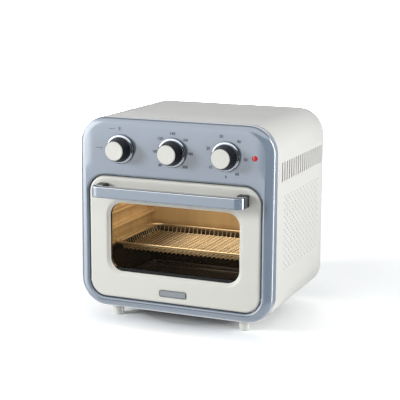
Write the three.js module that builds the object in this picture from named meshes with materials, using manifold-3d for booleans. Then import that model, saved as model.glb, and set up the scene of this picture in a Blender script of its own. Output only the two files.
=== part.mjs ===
// Countertop air fryer oven: a rounded steel body behind a moulded front bezel, a drop-down door
// with a window, three control knobs, and a fan and heating coil above the cooking cavity.
// Millimetres, +Z up. The front faces -Y. The origin is under the middle of the oven, where it stands.

import * as THREE from "three";
import { mergeVertices } from "three/addons/utils/BufferGeometryUtils.js";
import Module from "manifold-3d";

const wasm = await Module();
wasm.setup();

// Driving dimensions: overall
const bodyWidth = 320;
const bodyHeight = 300;
const bodyDepth = 247;
const bodyCornerRadius = 42.6;
const footHeight = 18;
const handleReach = 33;
const seatGap = 0.3;
const cutOverrun = 2;

// Driving dimensions: front bezel
const bezelDepth = 21;
const bezelBullnose = 12;
const bezelWall = 2.5;
const jointGroove = 1.5;
const openingSideBorder = 16.7;
const openingSill = 15.4;
const controlBand = 89;
const openingRadius = 28;
const openingFillet = 3;
const openingReturn = 18;

// Driving dimensions: painted steel wrap and its side vents
const wrapSheet = 1.2;
const wrapFloorLip = 68;
const sideVentCount = 19;
const sideVentPitch = 10.6;
const sideVentFirst = 41;
const sideVentWidth = 4;
const sideVentDrop = 57;
const sideVentLength = 30;

// Driving dimensions: base, rear panel and feet
const panelSheet = 1.2;
const panelClearance = 0.4;
const basePlateSideMargin = 44;
const baseVentLength = 42;
const baseVentWidth = 5;
const baseVentPitch = 18;
const baseVentCount = 6;
const rearPanelRecess = 6;
const rearVentLength = 22;
const rearVentWidth = 4;
const rearVentPitch = 20;
const rearVentColumns = 9;
const rearVentRows = 2;
const rearVentRowPitch = 30;
const rearVentDrop = 34;
const footRadius = 9;
const footSoleRadius = 8.2;
const footEdgeRadius = 1.2;
const footSideInset = 53;
const footFrontInset = 30;
const footRearInset = 49;
const cordHoleRadius = 6.5;
const cordBoreRadius = 3.8;
const cordCollarRadius = 9;
const cordCollarDepth = 4;
const cordInletInset = 42;
const cordInletHeight = 30;

// Driving dimensions: inner chassis plate and cooking cavity
const chassisSheet = 1.2;
const mouthSideInset = 5.3;
const mouthSillInset = 3.6;
const mouthTopInset = 4;
const mouthRadius = 20;
const cavitySheet = 1;
const cavitySideInset = 2;
const cavityFloorDrop = 0.5;
const cavityRoofDrop = 1;
const cavityRearSpace = 57;
const runnerFirst = 69.5;
const runnerPitch = 25;
const runnerCount = 3;
const runnerReach = 8;
const runnerHeight = 8;
const runnerLedge = 4;
const seamFlange = 7;

// Driving dimensions: door
const doorGap = 1.8;
const doorRecess = 0.5;
const doorThickness = 14;
const doorWall = 2.5;
const doorFaceWall = 3;
const doorEdgeRadius = 4;
const windowSideBorder = 34;
const windowLowBorder = 42.3;
const windowTopBorder = 40.7;
const windowRadius = 21;
const windowSlopeWidth = 6;
const windowSlopeDepth = 3.6;
const windowLip = 1.6;
const glassThickness = 4;
const glassLap = 8;
const glassSeatClearance = 1;
const linerSheet = 1;
const linerRimStep = 15;
const linerStepRun = 5;
const badgeWidth = 45;
const badgeHeight = 11;
const badgeCorner = 3;
const badgeThickness = 0.9;
const badgeRise = 15.8;

// Driving dimensions: door hinge
const hingeAxisDepth = 5.8;
const hingeAxisRise = 24.6;
const hingePinRadius = 1.9;
const hingePinClearance = 0.15;
const hingePinHoleClearance = 0.7;
const hingePinGrip = 11.5;
const hingePlateSheet = 1.6;
const hingePlateDrop = 3.5;
const hingePlateHeight = 13;

// Driving dimensions: door handle
const handleEndInset = 17.5;
const handleBarHeight = 17;
const handleBarDepth = 13.6;
const handleLegWidth = 14;
const handleCornerRadius = 13;
const handleInnerRadius = 5;
const handleEdge = 1.2;
const handleDrop = 19.9;
const inlayProud = 0.4;
const inlayDepth = 1.8;
const inlayStrip = 1.6;
const inlayWrapShare = 0.667;
const spacerDepth = 11.4;
const spacerHeight = 19;
const spacerWidth = 16;
const spacerCorner = 2.5;
const spacerInset = 0.5;

// Driving dimensions: control knobs, shafts and the switches behind them
const knobSideInset = 73.7;
const knobDrop = 47.2;
const knobStandoff = 0.8;
const skirtRadius = 22.8;
const skirtThickness = 5;
const skirtTaper = 2.3;
const skirtEdge = 0.6;
const skirtLip = 0.5;
const skirtBoreRadius = 17.6;
const gripBaseRadius = 19.6;
const gripFrontRadius = 15.5;
const gripProud = 23;
const gripLip = 0.9;
const capRadius = 14.4;
const capProud = 24.2;
const capThickness = 2.2;
const capRound = 0.8;
const shaftRadius = 3;
const shaftBoreClearance = 0.25;
const shaftGripDepth = 10;
const shaftHoleClearance = 1.5;
const shaftInsertion = 9;
const bushRadius = 5;
const bushProud = 4;
const switchRadius = 17;
const switchDepth = 24;
const thermostatWidth = 36;
const thermostatHeight = 30;
const timerWidth = 44;
const timerHeight = 40;
const timerDepth = 27;
const switchCorner = 4;
const pilotInset = 28.8;
const pilotRadius = 3.4;
const pilotStemRadius = 2.6;
const pilotDome = 1.4;
const pilotStemLength = 27;
const pilotHoleClearance = 0.3;
const pilotHolderRadius = 5.5;
const pilotHolderLength = 9;

// Driving dimensions: fan, motor and heating coil above the cavity
const fanAxisOffset = 4.2;
const fanMouthRadius = 60;
const housingHeight = 30;
const housingSheet = 1;
const housingFlange = 8;
const shaftHoleRadius = 4.2;
const impellerRadius = 52;
const impellerPlate = 1.2;
const impellerBladeHeight = 15;
const impellerBladeSheet = 1.4;
const impellerBladeCount = 9;
const impellerBladeStartShare = 0.85;
const impellerHubRadius = 9;
const impellerLift = 9;
const fanShaftRadius = 3;
const motorRadius = 27;
const motorHeight = 26;
const motorBossRadius = 9;
const motorBossHeight = 3;
const motorBracketHalfSpan = 84;
const motorBracketWidth = 46;
const motorBracketFoot = 11;
const motorBracketRise = 34;
const motorBracketSheet = 1.5;
const coolingFanRadius = 34;
const coolingFanLift = 5;
const coolingBladeHeight = 8;
const coolingBladeCount = 7;
const coilTubeRadius = 3.2;
const coilOuterRadius = 56;
const coilInnerRadius = 34;
const coilDrop = 15;
const coilCrossGap = 1.4;
const coilTurns = 2;
const coilLeadRadius = 75.5;
const coilLeadTurnShares = [0.27, 0.23];
const coilStartShare = 0.08;
const coilEndShare = 0.06;
const coilHoleClearance = 0.8;
const coilLeadRise = 16;
const coilBendRadius = 9;
const guardRadius = 83;
const guardFlange = 4;
const guardDepth = 25;
const guardSheet = 1;
const guardRims = [22, 40, 58];
const guardSlotWidth = 11;
const guardSlotCounts = [4, 7, 10];
const guardBar = 4.5;

// Driving dimensions: fry basket and crumb tray
const basketSideGap = 14.5;
const basketFlange = 10;
const basketLip = 3;
const basketSetback = 36;
const basketRearGap = 5.8;
const basketDepth = 13;
const basketSheet = 1.2;
const basketTaper = 4;
const basketCorner = 16;
const basketRunGap = 0.4;
const basketHole = 23;
const basketHolePitch = 28;
const basketHoleMargin = 12;
const traySideGap = 7;
const traySetback = 12.2;
const trayRearGap = 5.8;
const trayHeight = 8;
const traySheet = 1;
const trayFlange = 3;
const trayCorner = 6;

// Places worked out from the driving dimensions
const halfWidth = bodyWidth / 2;
const opening = {
  half: halfWidth - openingSideBorder,
  low: openingSill,
  high: bodyHeight - controlBand,
  radius: openingRadius,
};
const body = { half: halfWidth, low: 0, high: bodyHeight, radius: bodyCornerRadius };
const doorOutline = inset(opening, doorGap);
const window = {
  half: doorOutline.half - windowSideBorder,
  low: doorOutline.low + windowLowBorder,
  high: doorOutline.high - windowTopBorder,
  radius: windowRadius,
};
const sideVentHigh = bodyHeight - sideVentDrop;
const cordInletSide = halfWidth - cordInletInset;
const mouthHalfWidth = opening.half - mouthSideInset;
const mouthSill = opening.low + mouthSillInset;
const mouthTop = opening.high - mouthTopInset;
const cavityHalfWidth = mouthHalfWidth - cavitySideInset;
const cavityFloor = mouthSill - cavityFloorDrop;
const cavityCeiling = mouthTop - cavityRoofDrop;
const cavityDepth = bodyDepth - cavityRearSpace;
const runnerLevels = Array.from({ length: runnerCount }, (_, i) => runnerFirst + i * runnerPitch);
const runnerHeights = runnerLevels.map((level) => cavityFloor + level);
const badgeCentre = doorOutline.low + badgeRise;
const hingeAxisHeight = opening.low + hingeAxisRise;
const hingePinInner = doorOutline.half - hingePinGrip;
const hingePlateInner = opening.half + bezelWall + seatGap;
const handleHalfLength = doorOutline.half - handleEndInset;
const handleCentre = doorOutline.high - handleDrop;
const knobPitch = halfWidth - knobSideInset;
const knobHeight = bodyHeight - knobDrop;
const pilotOffset = halfWidth - pilotInset;
const doorFace = doorRecess;
const doorBack = doorFace + doorThickness;
const glassFront = doorFace + windowSlopeDepth + windowLip + seatGap;
const glassBack = glassFront + glassThickness;
const chassisFront = bezelDepth + seatGap;
const chassisBack = chassisFront + chassisSheet;
const cavityFront = chassisBack + seatGap;
const cavityBack = cavityFront + cavityDepth;
const rearPanelFront = bodyDepth - rearPanelRecess - panelSheet;
const fanAxisDepth = (cavityFront + cavityBack) / 2 + fanAxisOffset;
const basketHalfWidth = cavityHalfWidth - basketSideGap;
const basketFront = cavityFront + basketSetback;
const basketLength = cavityBack - basketRearGap - basketFront;
const trayHalfWidth = cavityHalfWidth - traySideGap;
const trayFront = cavityFront + traySetback;
const trayLength = cavityBack - trayRearGap - trayFront;
const roofTop = cavityCeiling + cavitySheet;
const fanAxis = new THREE.Vector3(0, fanAxisDepth, 0);
const handleFront = inlayProud - handleReach;
const handleLegEnd = doorFace - 2 * seatGap - spacerDepth;
const inlayHeight = handleBarHeight - 2 * inlayStrip;
const inlayLow = handleCentre - inlayHeight / 2;
const motorLow = roofTop + motorBracketRise + 2 * seatGap;
const motorHigh = motorLow + motorHeight;
const coolingFanLow = motorHigh + coolingFanLift;
const knobPlaces = { mode: -knobPitch, temperature: 0, timer: knobPitch };

// Segment counts
const cornerSteps = 6;
const roundSteps = 12;
const knobSteps = 18;
const pinSteps = 10;
const innerSteps = 3;
const slotSteps = 2;
const faceHoleSteps = 8;
const coilSteps = 50;
const coilSides = 6;
const weldTolerance = 0.001;

// Colours of the finishes seen on the object
const finishes = {
  blue: { color: 0xa5b2c1, roughness: 0.28, metalness: 0 },
  cream: { color: 0xe0e0da, roughness: 0.4, metalness: 0 },
  creamGloss: { color: 0xe1e2dc, roughness: 0.3, metalness: 0 },
  chrome: { color: 0xd6d8da, roughness: 0.08, metalness: 1 },
  gripBlack: { color: 0x12141c, roughness: 0.12, metalness: 0 },
  black: { color: 0x16171a, roughness: 0.45, metalness: 0 },
  glass: { color: 0x2a2622, roughness: 0.05, metalness: 0 },
  badge: { color: 0x8f9cac, roughness: 0.35, metalness: 0.4 },
  pilotRed: { color: 0xc41414, roughness: 0.2, metalness: 0 },
  cavitySteel: { color: 0xa89c88, roughness: 0.3, metalness: 1 },
  zincSteel: { color: 0x9a9ea2, roughness: 0.45, metalness: 1 },
  wireSteel: { color: 0xb9b4a8, roughness: 0.25, metalness: 1 },
  trayBlack: { color: 0x26241f, roughness: 0.4, metalness: 0.3 },
  coilSteel: { color: 0x4b4844, roughness: 0.5, metalness: 1 },
  motorSteel: { color: 0x6d7278, roughness: 0.5, metalness: 1 },
};

const oven = new THREE.Group();
oven.position.set(0, (handleReach - bodyDepth) / 2, footHeight);

function add(name, geometry, finish) {
  const part = new THREE.Mesh(geometry, new THREE.MeshStandardMaterial(finishes[finish]));
  part.name = name;
  oven.add(part);
  return part;
}

// A rounded rectangle drawn a distance inside another
function inset(outline, by) {
  return {
    half: outline.half - by,
    low: outline.low + by,
    high: outline.high - by,
    radius: outline.radius - by,
  };
}

// The points of a rounded rectangle in X and Z, anticlockwise seen from the front
function roundedPoints({ half, low, high, radius }, steps = cornerSteps) {
  const corners = [
    [half - radius, low + radius, -1 / 4],
    [half - radius, high - radius, 0],
    [radius - half, high - radius, 1 / 4],
    [radius - half, low + radius, 1 / 2],
  ];
  return corners.flatMap(([x, z, turn]) =>
    Array.from({ length: steps + 1 }, (_, i) => {
      const angle = 2 * Math.PI * (turn + i / steps / 4);
      return new THREE.Vector2(x + radius * Math.cos(angle), z + radius * Math.sin(angle));
    }),
  );
}

function shapeOf(points, holes = []) {
  const shape = new THREE.Shape(points);
  shape.holes = holes.map((hole) => new THREE.Path(hole));
  return shape;
}

function circlePoints(x, y, radius, steps = roundSteps) {
  return Array.from({ length: steps }, (_, i) => {
    const angle = (2 * Math.PI * i) / steps;
    return new THREE.Vector2(x + radius * Math.cos(angle), y + radius * Math.sin(angle));
  });
}

function extrude(shape, depth, options = {}) {
  const plain = { depth, bevelEnabled: false, curveSegments: cornerSteps };
  return new THREE.ExtrudeGeometry(shape, { ...plain, ...options });
}

// A shape drawn in X and Z, swept from one depth to another
function alongY(shape, front, back) {
  return extrude(shape, back - front).rotateX(Math.PI / 2).translate(0, back, 0);
}

// A shape drawn in Y and Z, swept from one side to the other
function alongX(shape, left, right) {
  const basis = new THREE.Matrix4().makeBasis(
    new THREE.Vector3(0, 1, 0),
    new THREE.Vector3(0, 0, 1),
    new THREE.Vector3(1, 0, 0),
  );
  return extrude(shape, right - left).applyMatrix4(basis).translate(left, 0, 0);
}

// A shape drawn in X and Y, swept upwards
function alongZ(shape, low, high) {
  return extrude(shape, high - low).translate(0, 0, low);
}

// Radius and height pairs turned about a vertical axis
function turnedUp(profile, steps = roundSteps) {
  const points = profile.map(([radius, height]) => new THREE.Vector2(radius, height));
  return new THREE.LatheGeometry(points, steps).rotateX(Math.PI / 2);
}

// Radius and depth pairs turned about an axis that runs from front to back
function turnedBack(profile, steps = roundSteps) {
  const points = profile.map(([radius, depth]) => new THREE.Vector2(radius, depth));
  return new THREE.LatheGeometry(points, steps);
}

// Radius and reach pairs turned about an axis that points out of the front
function turnedOut(profile, steps = roundSteps) {
  const points = profile.map(([radius, reach]) => new THREE.Vector2(radius, reach));
  return new THREE.LatheGeometry(points, steps).rotateX(Math.PI);
}

// A quarter round between two directions, as radius and height pairs
function quarterRound(centreRadius, centreHeight, round, fromTurn, toTurn, steps) {
  return Array.from({ length: steps + 1 }, (_, i) => {
    const angle = 2 * Math.PI * (fromTurn + ((toTurn - fromTurn) * i) / steps);
    return [centreRadius + round * Math.cos(angle), centreHeight + round * Math.sin(angle)];
  });
}

// A skin through closed rings of equal length: looped into a tube, or closed by a fan at each end
function skin(rings, looped) {
  const count = rings[0].length;
  const positions = rings.flat().flatMap((p) => [p.x, p.y, p.z]);
  const index = [];
  const joins = looped ? rings.length : rings.length - 1;
  for (let i = 0; i < joins; i += 1) {
    const a = i * count;
    const b = ((i + 1) % rings.length) * count;
    for (let j = 0; j < count; j += 1) {
      const k = (j + 1) % count;
      index.push(a + j, a + k, b + k, a + j, b + k, b + j);
    }
  }
  if (!looped) {
    [rings[0], rings[rings.length - 1]].forEach((ring, end) => {
      const centre = ring.reduce((sum, p) => sum.add(p), new THREE.Vector3()).divideScalar(count);
      const hub = positions.length / 3;
      const first = end === 0 ? 0 : (rings.length - 1) * count;
      positions.push(centre.x, centre.y, centre.z);
      for (let j = 0; j < count; j += 1) {
        const k = (j + 1) % count;
        if (end === 0) index.push(hub, first + k, first + j);
        else index.push(hub, first + j, first + k);
      }
    });
  }
  const geometry = new THREE.BufferGeometry();
  geometry.setAttribute("position", new THREE.Float32BufferAttribute(positions, 3));
  geometry.setIndex(index);
  return geometry;
}

// A rounded rectangle as a ring at one depth
function ringAt(outline, depth, steps = cornerSteps) {
  return roundedPoints(outline, steps).map((p) => new THREE.Vector3(p.x, depth, p.y));
}

function toSolid(geometry) {
  const bare = geometry.clone();
  bare.deleteAttribute("normal");
  bare.deleteAttribute("uv");
  const merged = mergeVertices(bare, weldTolerance);
  const index = Array.from(merged.index.array);
  const kept = [];
  for (let i = 0; i < index.length; i += 3) {
    const [a, b, c] = index.slice(i, i + 3);
    if (a !== b && b !== c && a !== c) kept.push(a, b, c);
  }
  return new wasm.Manifold(
    new wasm.Mesh({
      numProp: 3,
      vertProperties: merged.attributes.position.array,
      triVerts: new Uint32Array(kept),
    }),
  );
}

function toGeometry(solid) {
  const data = solid.getMesh();
  const geometry = new THREE.BufferGeometry();
  geometry.setAttribute("position", new THREE.BufferAttribute(data.vertProperties, 3));
  geometry.setIndex(new THREE.BufferAttribute(data.triVerts, 1));
  return geometry;
}

function cut(geometry, tools) {
  return toGeometry(tools.reduce((solid, tool) => solid.subtract(toSolid(tool)), toSolid(geometry)));
}

function join(geometries) {
  return toGeometry(geometries.map(toSolid).reduce((all, solid) => all.add(solid)));
}

function mirrored(points) {
  return points.map((p) => new THREE.Vector2(-p.x, p.y)).reverse();
}

// The outline of a sheet of even thickness bent along a line; the sheet lies to the line's left
function bentSheet(line, thickness) {
  const points = line.map(([x, y]) => new THREE.Vector2(x, y));
  const normals = points.slice(1).map((p, i) => {
    const along = p.clone().sub(points[i]).normalize();
    return new THREE.Vector2(-along.y, along.x);
  });
  const far = points.map((p, i) => {
    const before = normals[Math.max(i - 1, 0)];
    const after = normals[Math.min(i, normals.length - 1)];
    const mean = before.clone().add(after).normalize();
    return p.clone().addScaledVector(mean, thickness / mean.dot(after));
  });
  return points.concat(far.reverse());
}

// A round-ended slot between two points of a plane
function slotPoints(from, to, width) {
  const along = to.clone().sub(from);
  const start = Math.atan2(along.y, along.x);
  const end = (centre, angle) =>
    Array.from({ length: slotSteps + 1 }, (_, i) => {
      const turn = angle - Math.PI / 2 + (Math.PI * i) / slotSteps;
      const arm = new THREE.Vector2(Math.cos(turn), Math.sin(turn)).multiplyScalar(width / 2);
      return centre.clone().add(arm);
    });
  return [...end(to, start), ...end(from, start + Math.PI)];
}

function uprightSlot(centre, low, high, width) {
  const ends = [low + width / 2, high - width / 2].map((z) => new THREE.Vector2(centre, z));
  return slotPoints(ends[0], ends[1], width);
}

// Steps of a quarter round that turns a side into a face: how far in, and how deep
function edgeRound(round, steps = 4) {
  return Array.from({ length: steps + 1 }, (_, i) => {
    const angle = ((Math.PI / 2) * i) / steps;
    return { by: round * (1 - Math.cos(angle)), depth: round * (1 - Math.sin(angle)) };
  });
}

// A round hole at the height of the knobs
function faceHole(x, radius, steps) {
  return circlePoints(x, knobHeight, radius, steps);
}

// The hinge pin's outline, or that of a hole round it
function pinCircle(clearance = 0) {
  return circlePoints(hingeAxisDepth, hingeAxisHeight, hingePinRadius + clearance, pinSteps);
}

// Front bezel: a hollow moulding with a bullnosed rim and a filleted door opening
function makeBezel() {
  const inside = inset(body, bezelWall);
  const insideRound = bezelBullnose - bezelWall;
  const fillet = edgeRound(openingFillet, 2).reverse();
  const rings = [
    ringAt(inset(body, jointGroove), bezelDepth),
    ringAt(inset(body, jointGroove), bezelDepth - jointGroove),
    ringAt(body, bezelDepth - jointGroove),
    ...edgeRound(bezelBullnose, 5).map(({ by, depth }) => ringAt(inset(body, by), depth)),
    ...fillet.map(({ by, depth }) => ringAt(inset(opening, -by), depth)),
    ringAt(opening, openingReturn),
    ringAt(inset(opening, -bezelWall), openingReturn),
    ringAt(inset(opening, -bezelWall), bezelWall),
    ...edgeRound(insideRound)
      .reverse()
      .map(({ by, depth }) => ringAt(inset(inside, by), depth + bezelWall)),
    ringAt(inside, bezelDepth),
  ];
  const faceHoles = [
    ...Object.values(knobPlaces).map((x) => faceHole(x, shaftRadius + shaftHoleClearance, faceHoleSteps)),
    faceHole(pilotOffset, pilotStemRadius + pilotHoleClearance, faceHoleSteps),
  ];
  const pinHole = pinCircle(hingePinHoleClearance);
  return cut(skin(rings, true), [
    alongY(faceHoles.map((hole) => shapeOf(hole)), -cutOverrun, bezelWall + cutOverrun),
    alongX(shapeOf(pinHole), -hingePlateInner, hingePlateInner),
  ]);
}

// Steel wrap: one sheet bent round the sides and top, with its lips turned in under the floor
function makeWrap() {
  const lipEnd = halfWidth - wrapFloorLip;
  const line = [[lipEnd, 0], ...roundedPoints(body).map((p) => [p.x, p.y]), [-lipEnd, 0]];
  const vents = Array.from({ length: sideVentCount }, (_, i) => {
    const depth = sideVentFirst + i * sideVentPitch;
    return shapeOf(uprightSlot(depth, sideVentHigh - sideVentLength, sideVentHigh, sideVentWidth));
  });
  return cut(alongY(shapeOf(bentSheet(line, wrapSheet)), chassisFront, bodyDepth), [
    alongX(vents, -halfWidth - cutOverrun, halfWidth + cutOverrun),
  ]);
}

// Base plate: lies on the wrap's lips, with two rows of air slots
function makeBasePlate() {
  const half = halfWidth - basePlateSideMargin;
  const front = chassisBack + seatGap;
  const back = rearPanelFront - seatGap;
  const plate = [
    new THREE.Vector2(-half, front),
    new THREE.Vector2(half, front),
    new THREE.Vector2(half, back),
    new THREE.Vector2(-half, back),
  ];
  const middle = (front + back) / 2;
  const slots = [-1, 1].flatMap((side) =>
    Array.from({ length: baseVentCount }, (_, i) => {
      const x = (i - (baseVentCount - 1) / 2) * baseVentPitch;
      const near = middle + side * baseVentPitch;
      const ends = [near, near + side * baseVentLength].map((y) => new THREE.Vector2(x, y));
      return slotPoints(ends[0], ends[1], baseVentWidth);
    }),
  );
  const low = wrapSheet + seatGap;
  return alongZ(shapeOf(plate, slots), low, low + panelSheet);
}

// Rear panel: set inside the wrap's edge, with an air grille and the cord inlet
function makeRearPanel() {
  const outline = roundedPoints(inset(body, wrapSheet + panelClearance));
  const slots = Array.from({ length: rearVentRows * rearVentColumns }, (_, i) => {
    const column = (i % rearVentColumns) - (rearVentColumns - 1) / 2;
    const high = bodyHeight - rearVentDrop - Math.floor(i / rearVentColumns) * rearVentRowPitch;
    return uprightSlot(column * rearVentPitch, high - rearVentLength, high, rearVentWidth);
  });
  const inlet = circlePoints(cordInletSide, cordInletHeight, cordHoleRadius);
  return alongY(shapeOf(outline, [...slots, inlet]), rearPanelFront, rearPanelFront + panelSheet);
}

// Cord bushing: a shouldered sleeve in the rear panel's inlet
function makeCordBushing() {
  const neck = cordHoleRadius - seatGap;
  const shoulder = rearPanelFront + panelSheet + seatGap;
  const end = shoulder + cordCollarDepth;
  const start = rearPanelFront - cordCollarDepth;
  const profile = [
    [cordBoreRadius, start],
    [neck, start],
    [neck, shoulder],
    [cordCollarRadius, shoulder],
    [cordCollarRadius, end - footEdgeRadius],
    [cordCollarRadius - footEdgeRadius, end],
    [cordBoreRadius, end],
    [cordBoreRadius, start],
  ];
  return turnedBack(profile).translate(cordInletSide, 0, cordInletHeight);
}

function makeFoot(x, y) {
  const top = -seatGap;
  const sole = -footHeight;
  const profile = [
    [0, sole],
    ...quarterRound(footSoleRadius - footEdgeRadius, sole + footEdgeRadius, footEdgeRadius, -1 / 4, 0, 2),
    [footRadius, top],
    [0, top],
  ];
  return turnedUp(profile).translate(x, y, 0);
}

// Chassis plate behind the bezel: carries the cavity, the switches and the hinge plates
function makeChassisPlate() {
  const outline = roundedPoints(inset(body, wrapSheet + panelClearance));
  const mouthOutline = { half: mouthHalfWidth, low: mouthSill, high: mouthTop, radius: mouthRadius };
  const holes = [
    roundedPoints(mouthOutline, innerSteps),
    ...Object.values(knobPlaces).map((x) => faceHole(x, bushRadius + shaftBoreClearance)),
    faceHole(pilotOffset, pilotStemRadius + pilotHoleClearance),
  ];
  return alongY(shapeOf(outline, holes), chassisFront, chassisBack);
}

// Height of a runner's upper side at a distance from the middle
function runnerTop(height, x) {
  const rise = (runnerHeight - runnerLedge) / 2;
  return height + runnerLedge / 2 + (rise * (x - (cavityHalfWidth - runnerReach))) / runnerReach;
}

// Cavity side wall: a sheet pressed into three runners, with a seam flange above and below
function makeCavityWall(side) {
  const top = cavityCeiling - seatGap;
  const bottom = cavityFloor + seatGap;
  const ledge = cavityHalfWidth - runnerReach;
  const runners = [...runnerHeights].reverse().flatMap((height) => [
    [cavityHalfWidth, height + runnerHeight / 2],
    [ledge, height + runnerLedge / 2],
    [ledge, height - runnerLedge / 2],
    [cavityHalfWidth, height - runnerHeight / 2],
  ]);
  const line = [
    [cavityHalfWidth + seamFlange, top],
    [cavityHalfWidth, top],
    ...runners,
    [cavityHalfWidth, bottom],
    [cavityHalfWidth + seamFlange, bottom],
  ];
  const section = bentSheet(line, cavitySheet);
  return alongY(shapeOf(side > 0 ? section : mirrored(section)), cavityFront, cavityBack);
}

function makeCavityFloor() {
  const half = cavityHalfWidth + seamFlange;
  const section = bentSheet([[half, cavityFloor], [-half, cavityFloor]], cavitySheet);
  return alongY(shapeOf(section), cavityFront, cavityBack);
}

function makeCavityBack() {
  const half = cavityHalfWidth + seamFlange;
  const section = bentSheet([[half, cavityFloor - cavitySheet], [half, roofTop]], 2 * half);
  const front = cavityBack + seatGap;
  return alongY(shapeOf(section), front, front + cavitySheet);
}

// Cavity roof: has the round mouth under the fan and two holes for the coil's leads
function makeCavityRoof() {
  const half = cavityHalfWidth + seamFlange;
  const plate = [
    new THREE.Vector2(-half, cavityFront),
    new THREE.Vector2(half, cavityFront),
    new THREE.Vector2(half, cavityBack),
    new THREE.Vector2(-half, cavityBack),
  ];
  const leadHoles = coilLeadTurnShares.map((turn) => {
    const angle = 2 * Math.PI * turn;
    const x = fanAxis.x + coilLeadRadius * Math.cos(angle);
    const y = fanAxis.y + coilLeadRadius * Math.sin(angle);
    return circlePoints(x, y, coilTubeRadius + coilHoleClearance, pinSteps);
  });
  const mouth = circlePoints(fanAxis.x, fanAxis.y, fanMouthRadius, knobSteps);
  return alongZ(shapeOf(plate, [mouth, ...leadHoles]), cavityCeiling, roofTop);
}

// Door frame: a moulded shell with a rounded edge and a soft slope down to the window
function makeDoorFrame() {
  const slopeSteps = 3;
  const slope = Array.from({ length: slopeSteps + 1 }, (_, i) => {
    const along = i / slopeSteps;
    const depth = doorFace + (windowSlopeDepth * (1 - Math.cos(Math.PI * along))) / 2;
    return ringAt(inset(window, -windowSlopeWidth * (1 - along)), depth);
  });
  const seat = inset(window, -glassLap - glassSeatClearance);
  const faceBack = doorFace + doorFaceWall;
  const lipBack = doorFace + windowSlopeDepth + windowLip;
  const rings = [
    ringAt(doorOutline, doorBack),
    ...edgeRound(doorEdgeRadius, innerSteps).map(({ by, depth }) =>
      ringAt(inset(doorOutline, by), doorFace + depth),
    ),
    ...slope,
    ringAt(window, lipBack),
    ringAt(seat, lipBack),
    ringAt(seat, faceBack),
    ringAt(inset(doorOutline, 2 * doorWall), faceBack),
    ringAt(inset(doorOutline, doorWall), faceBack + doorWall),
    ringAt(inset(doorOutline, doorWall), doorBack),
  ];
  const pinHole = pinCircle(seatGap);
  return cut(skin(rings, true), [alongX(shapeOf(pinHole), -hingePlateInner, hingePlateInner)]);
}

function makeDoorGlass() {
  return alongY(shapeOf(roundedPoints(inset(window, -glassLap))), glassFront, glassBack);
}

// Door liner: a sheet on the cavity side, pressed forward round the window to hold the glass
function makeDoorLiner() {
  const rim = inset(doorOutline, doorWall + panelClearance);
  const pressed = inset(window, -linerRimStep + linerStepRun);
  const flat = inset(window, -linerRimStep);
  const clampFront = glassBack + seatGap;
  const levels = [
    [rim, doorBack],
    [rim, doorBack - linerSheet],
    [flat, doorBack - linerSheet],
    [pressed, clampFront],
    [window, clampFront],
    [window, clampFront + linerSheet],
    [pressed, clampFront + linerSheet],
    [flat, doorBack],
  ];
  return skin(levels.map(([outline, depth]) => ringAt(outline, depth, innerSteps)), true);
}

function makeBadgePlate() {
  const outline = {
    half: badgeWidth / 2,
    low: badgeCentre - badgeHeight / 2,
    high: badgeCentre + badgeHeight / 2,
    radius: badgeCorner,
  };
  const back = doorFace - seatGap;
  return alongY(shapeOf(roundedPoints(outline, 4)), back - badgeThickness, back);
}

// Hinge pin: runs from inside the door's lower corner to the hinge plate
function makeHingePin(side) {
  const end = hingePlateInner + hingePlateSheet + seatGap;
  const pin = shapeOf(pinCircle());
  return side > 0 ? alongX(pin, hingePinInner, end) : alongX(pin, -end, -hingePinInner);
}

// Hinge plate: stands on the chassis plate inside the bezel, with the pin's bearing hole
function makeHingePlate(side) {
  const front = bezelWall + 2 * seatGap;
  const back = chassisFront - seatGap;
  const low = hingeAxisHeight - hingePlateDrop;
  const plate = [
    new THREE.Vector2(front, low),
    new THREE.Vector2(back, low),
    new THREE.Vector2(back, low + hingePlateHeight),
    new THREE.Vector2(front, low + hingePlateHeight),
  ];
  const shape = shapeOf(plate, [pinCircle(hingePinClearance)]);
  const outer = hingePlateInner + hingePlateSheet;
  return side > 0 ? alongX(shape, hingePlateInner, outer) : alongX(shape, -outer, -hingePlateInner);
}

// Handle bar: a plated bar with its ends turned back to the door, let in along the front for the inlay
function makeHandleBar() {
  const shape = new THREE.Shape();
  shape.moveTo(-handleHalfLength, handleLegEnd);
  shape.lineTo(-handleHalfLength, handleFront + handleCornerRadius);
  shape.absarc(
    handleCornerRadius - handleHalfLength, handleFront + handleCornerRadius,
    handleCornerRadius, Math.PI, 1.5 * Math.PI, false,
  );
  shape.absarc(
    handleHalfLength - handleCornerRadius, handleFront + handleCornerRadius,
    handleCornerRadius, 1.5 * Math.PI, 2 * Math.PI, false,
  );
  shape.lineTo(handleHalfLength, handleLegEnd);
  const legInner = handleHalfLength - handleLegWidth;
  const barBack = handleFront + handleBarDepth;
  shape.lineTo(legInner, handleLegEnd);
  shape.absarc(
    legInner - handleInnerRadius, barBack + handleInnerRadius,
    handleInnerRadius, 0, -Math.PI / 2, true,
  );
  shape.absarc(
    handleInnerRadius - legInner, barBack + handleInnerRadius,
    handleInnerRadius, -Math.PI / 2, -Math.PI, true,
  );
  shape.lineTo(-legInner, handleLegEnd);
  const bar = extrude(shape, handleBarHeight - 2 * handleEdge, {
    bevelEnabled: true,
    bevelThickness: handleEdge,
    bevelSize: handleEdge,
    bevelOffset: -handleEdge,
    bevelSegments: 2,
    curveSegments: cornerSteps,
  }).translate(0, 0, handleCentre - handleBarHeight / 2 + handleEdge);
  const recess = inlayStrap(-cutOverrun, inlayDepth + seatGap, seatGap);
  return cut(bar, [alongZ(recess, inlayLow - seatGap, inlayLow + inlayHeight + seatGap)]);
}

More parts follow.
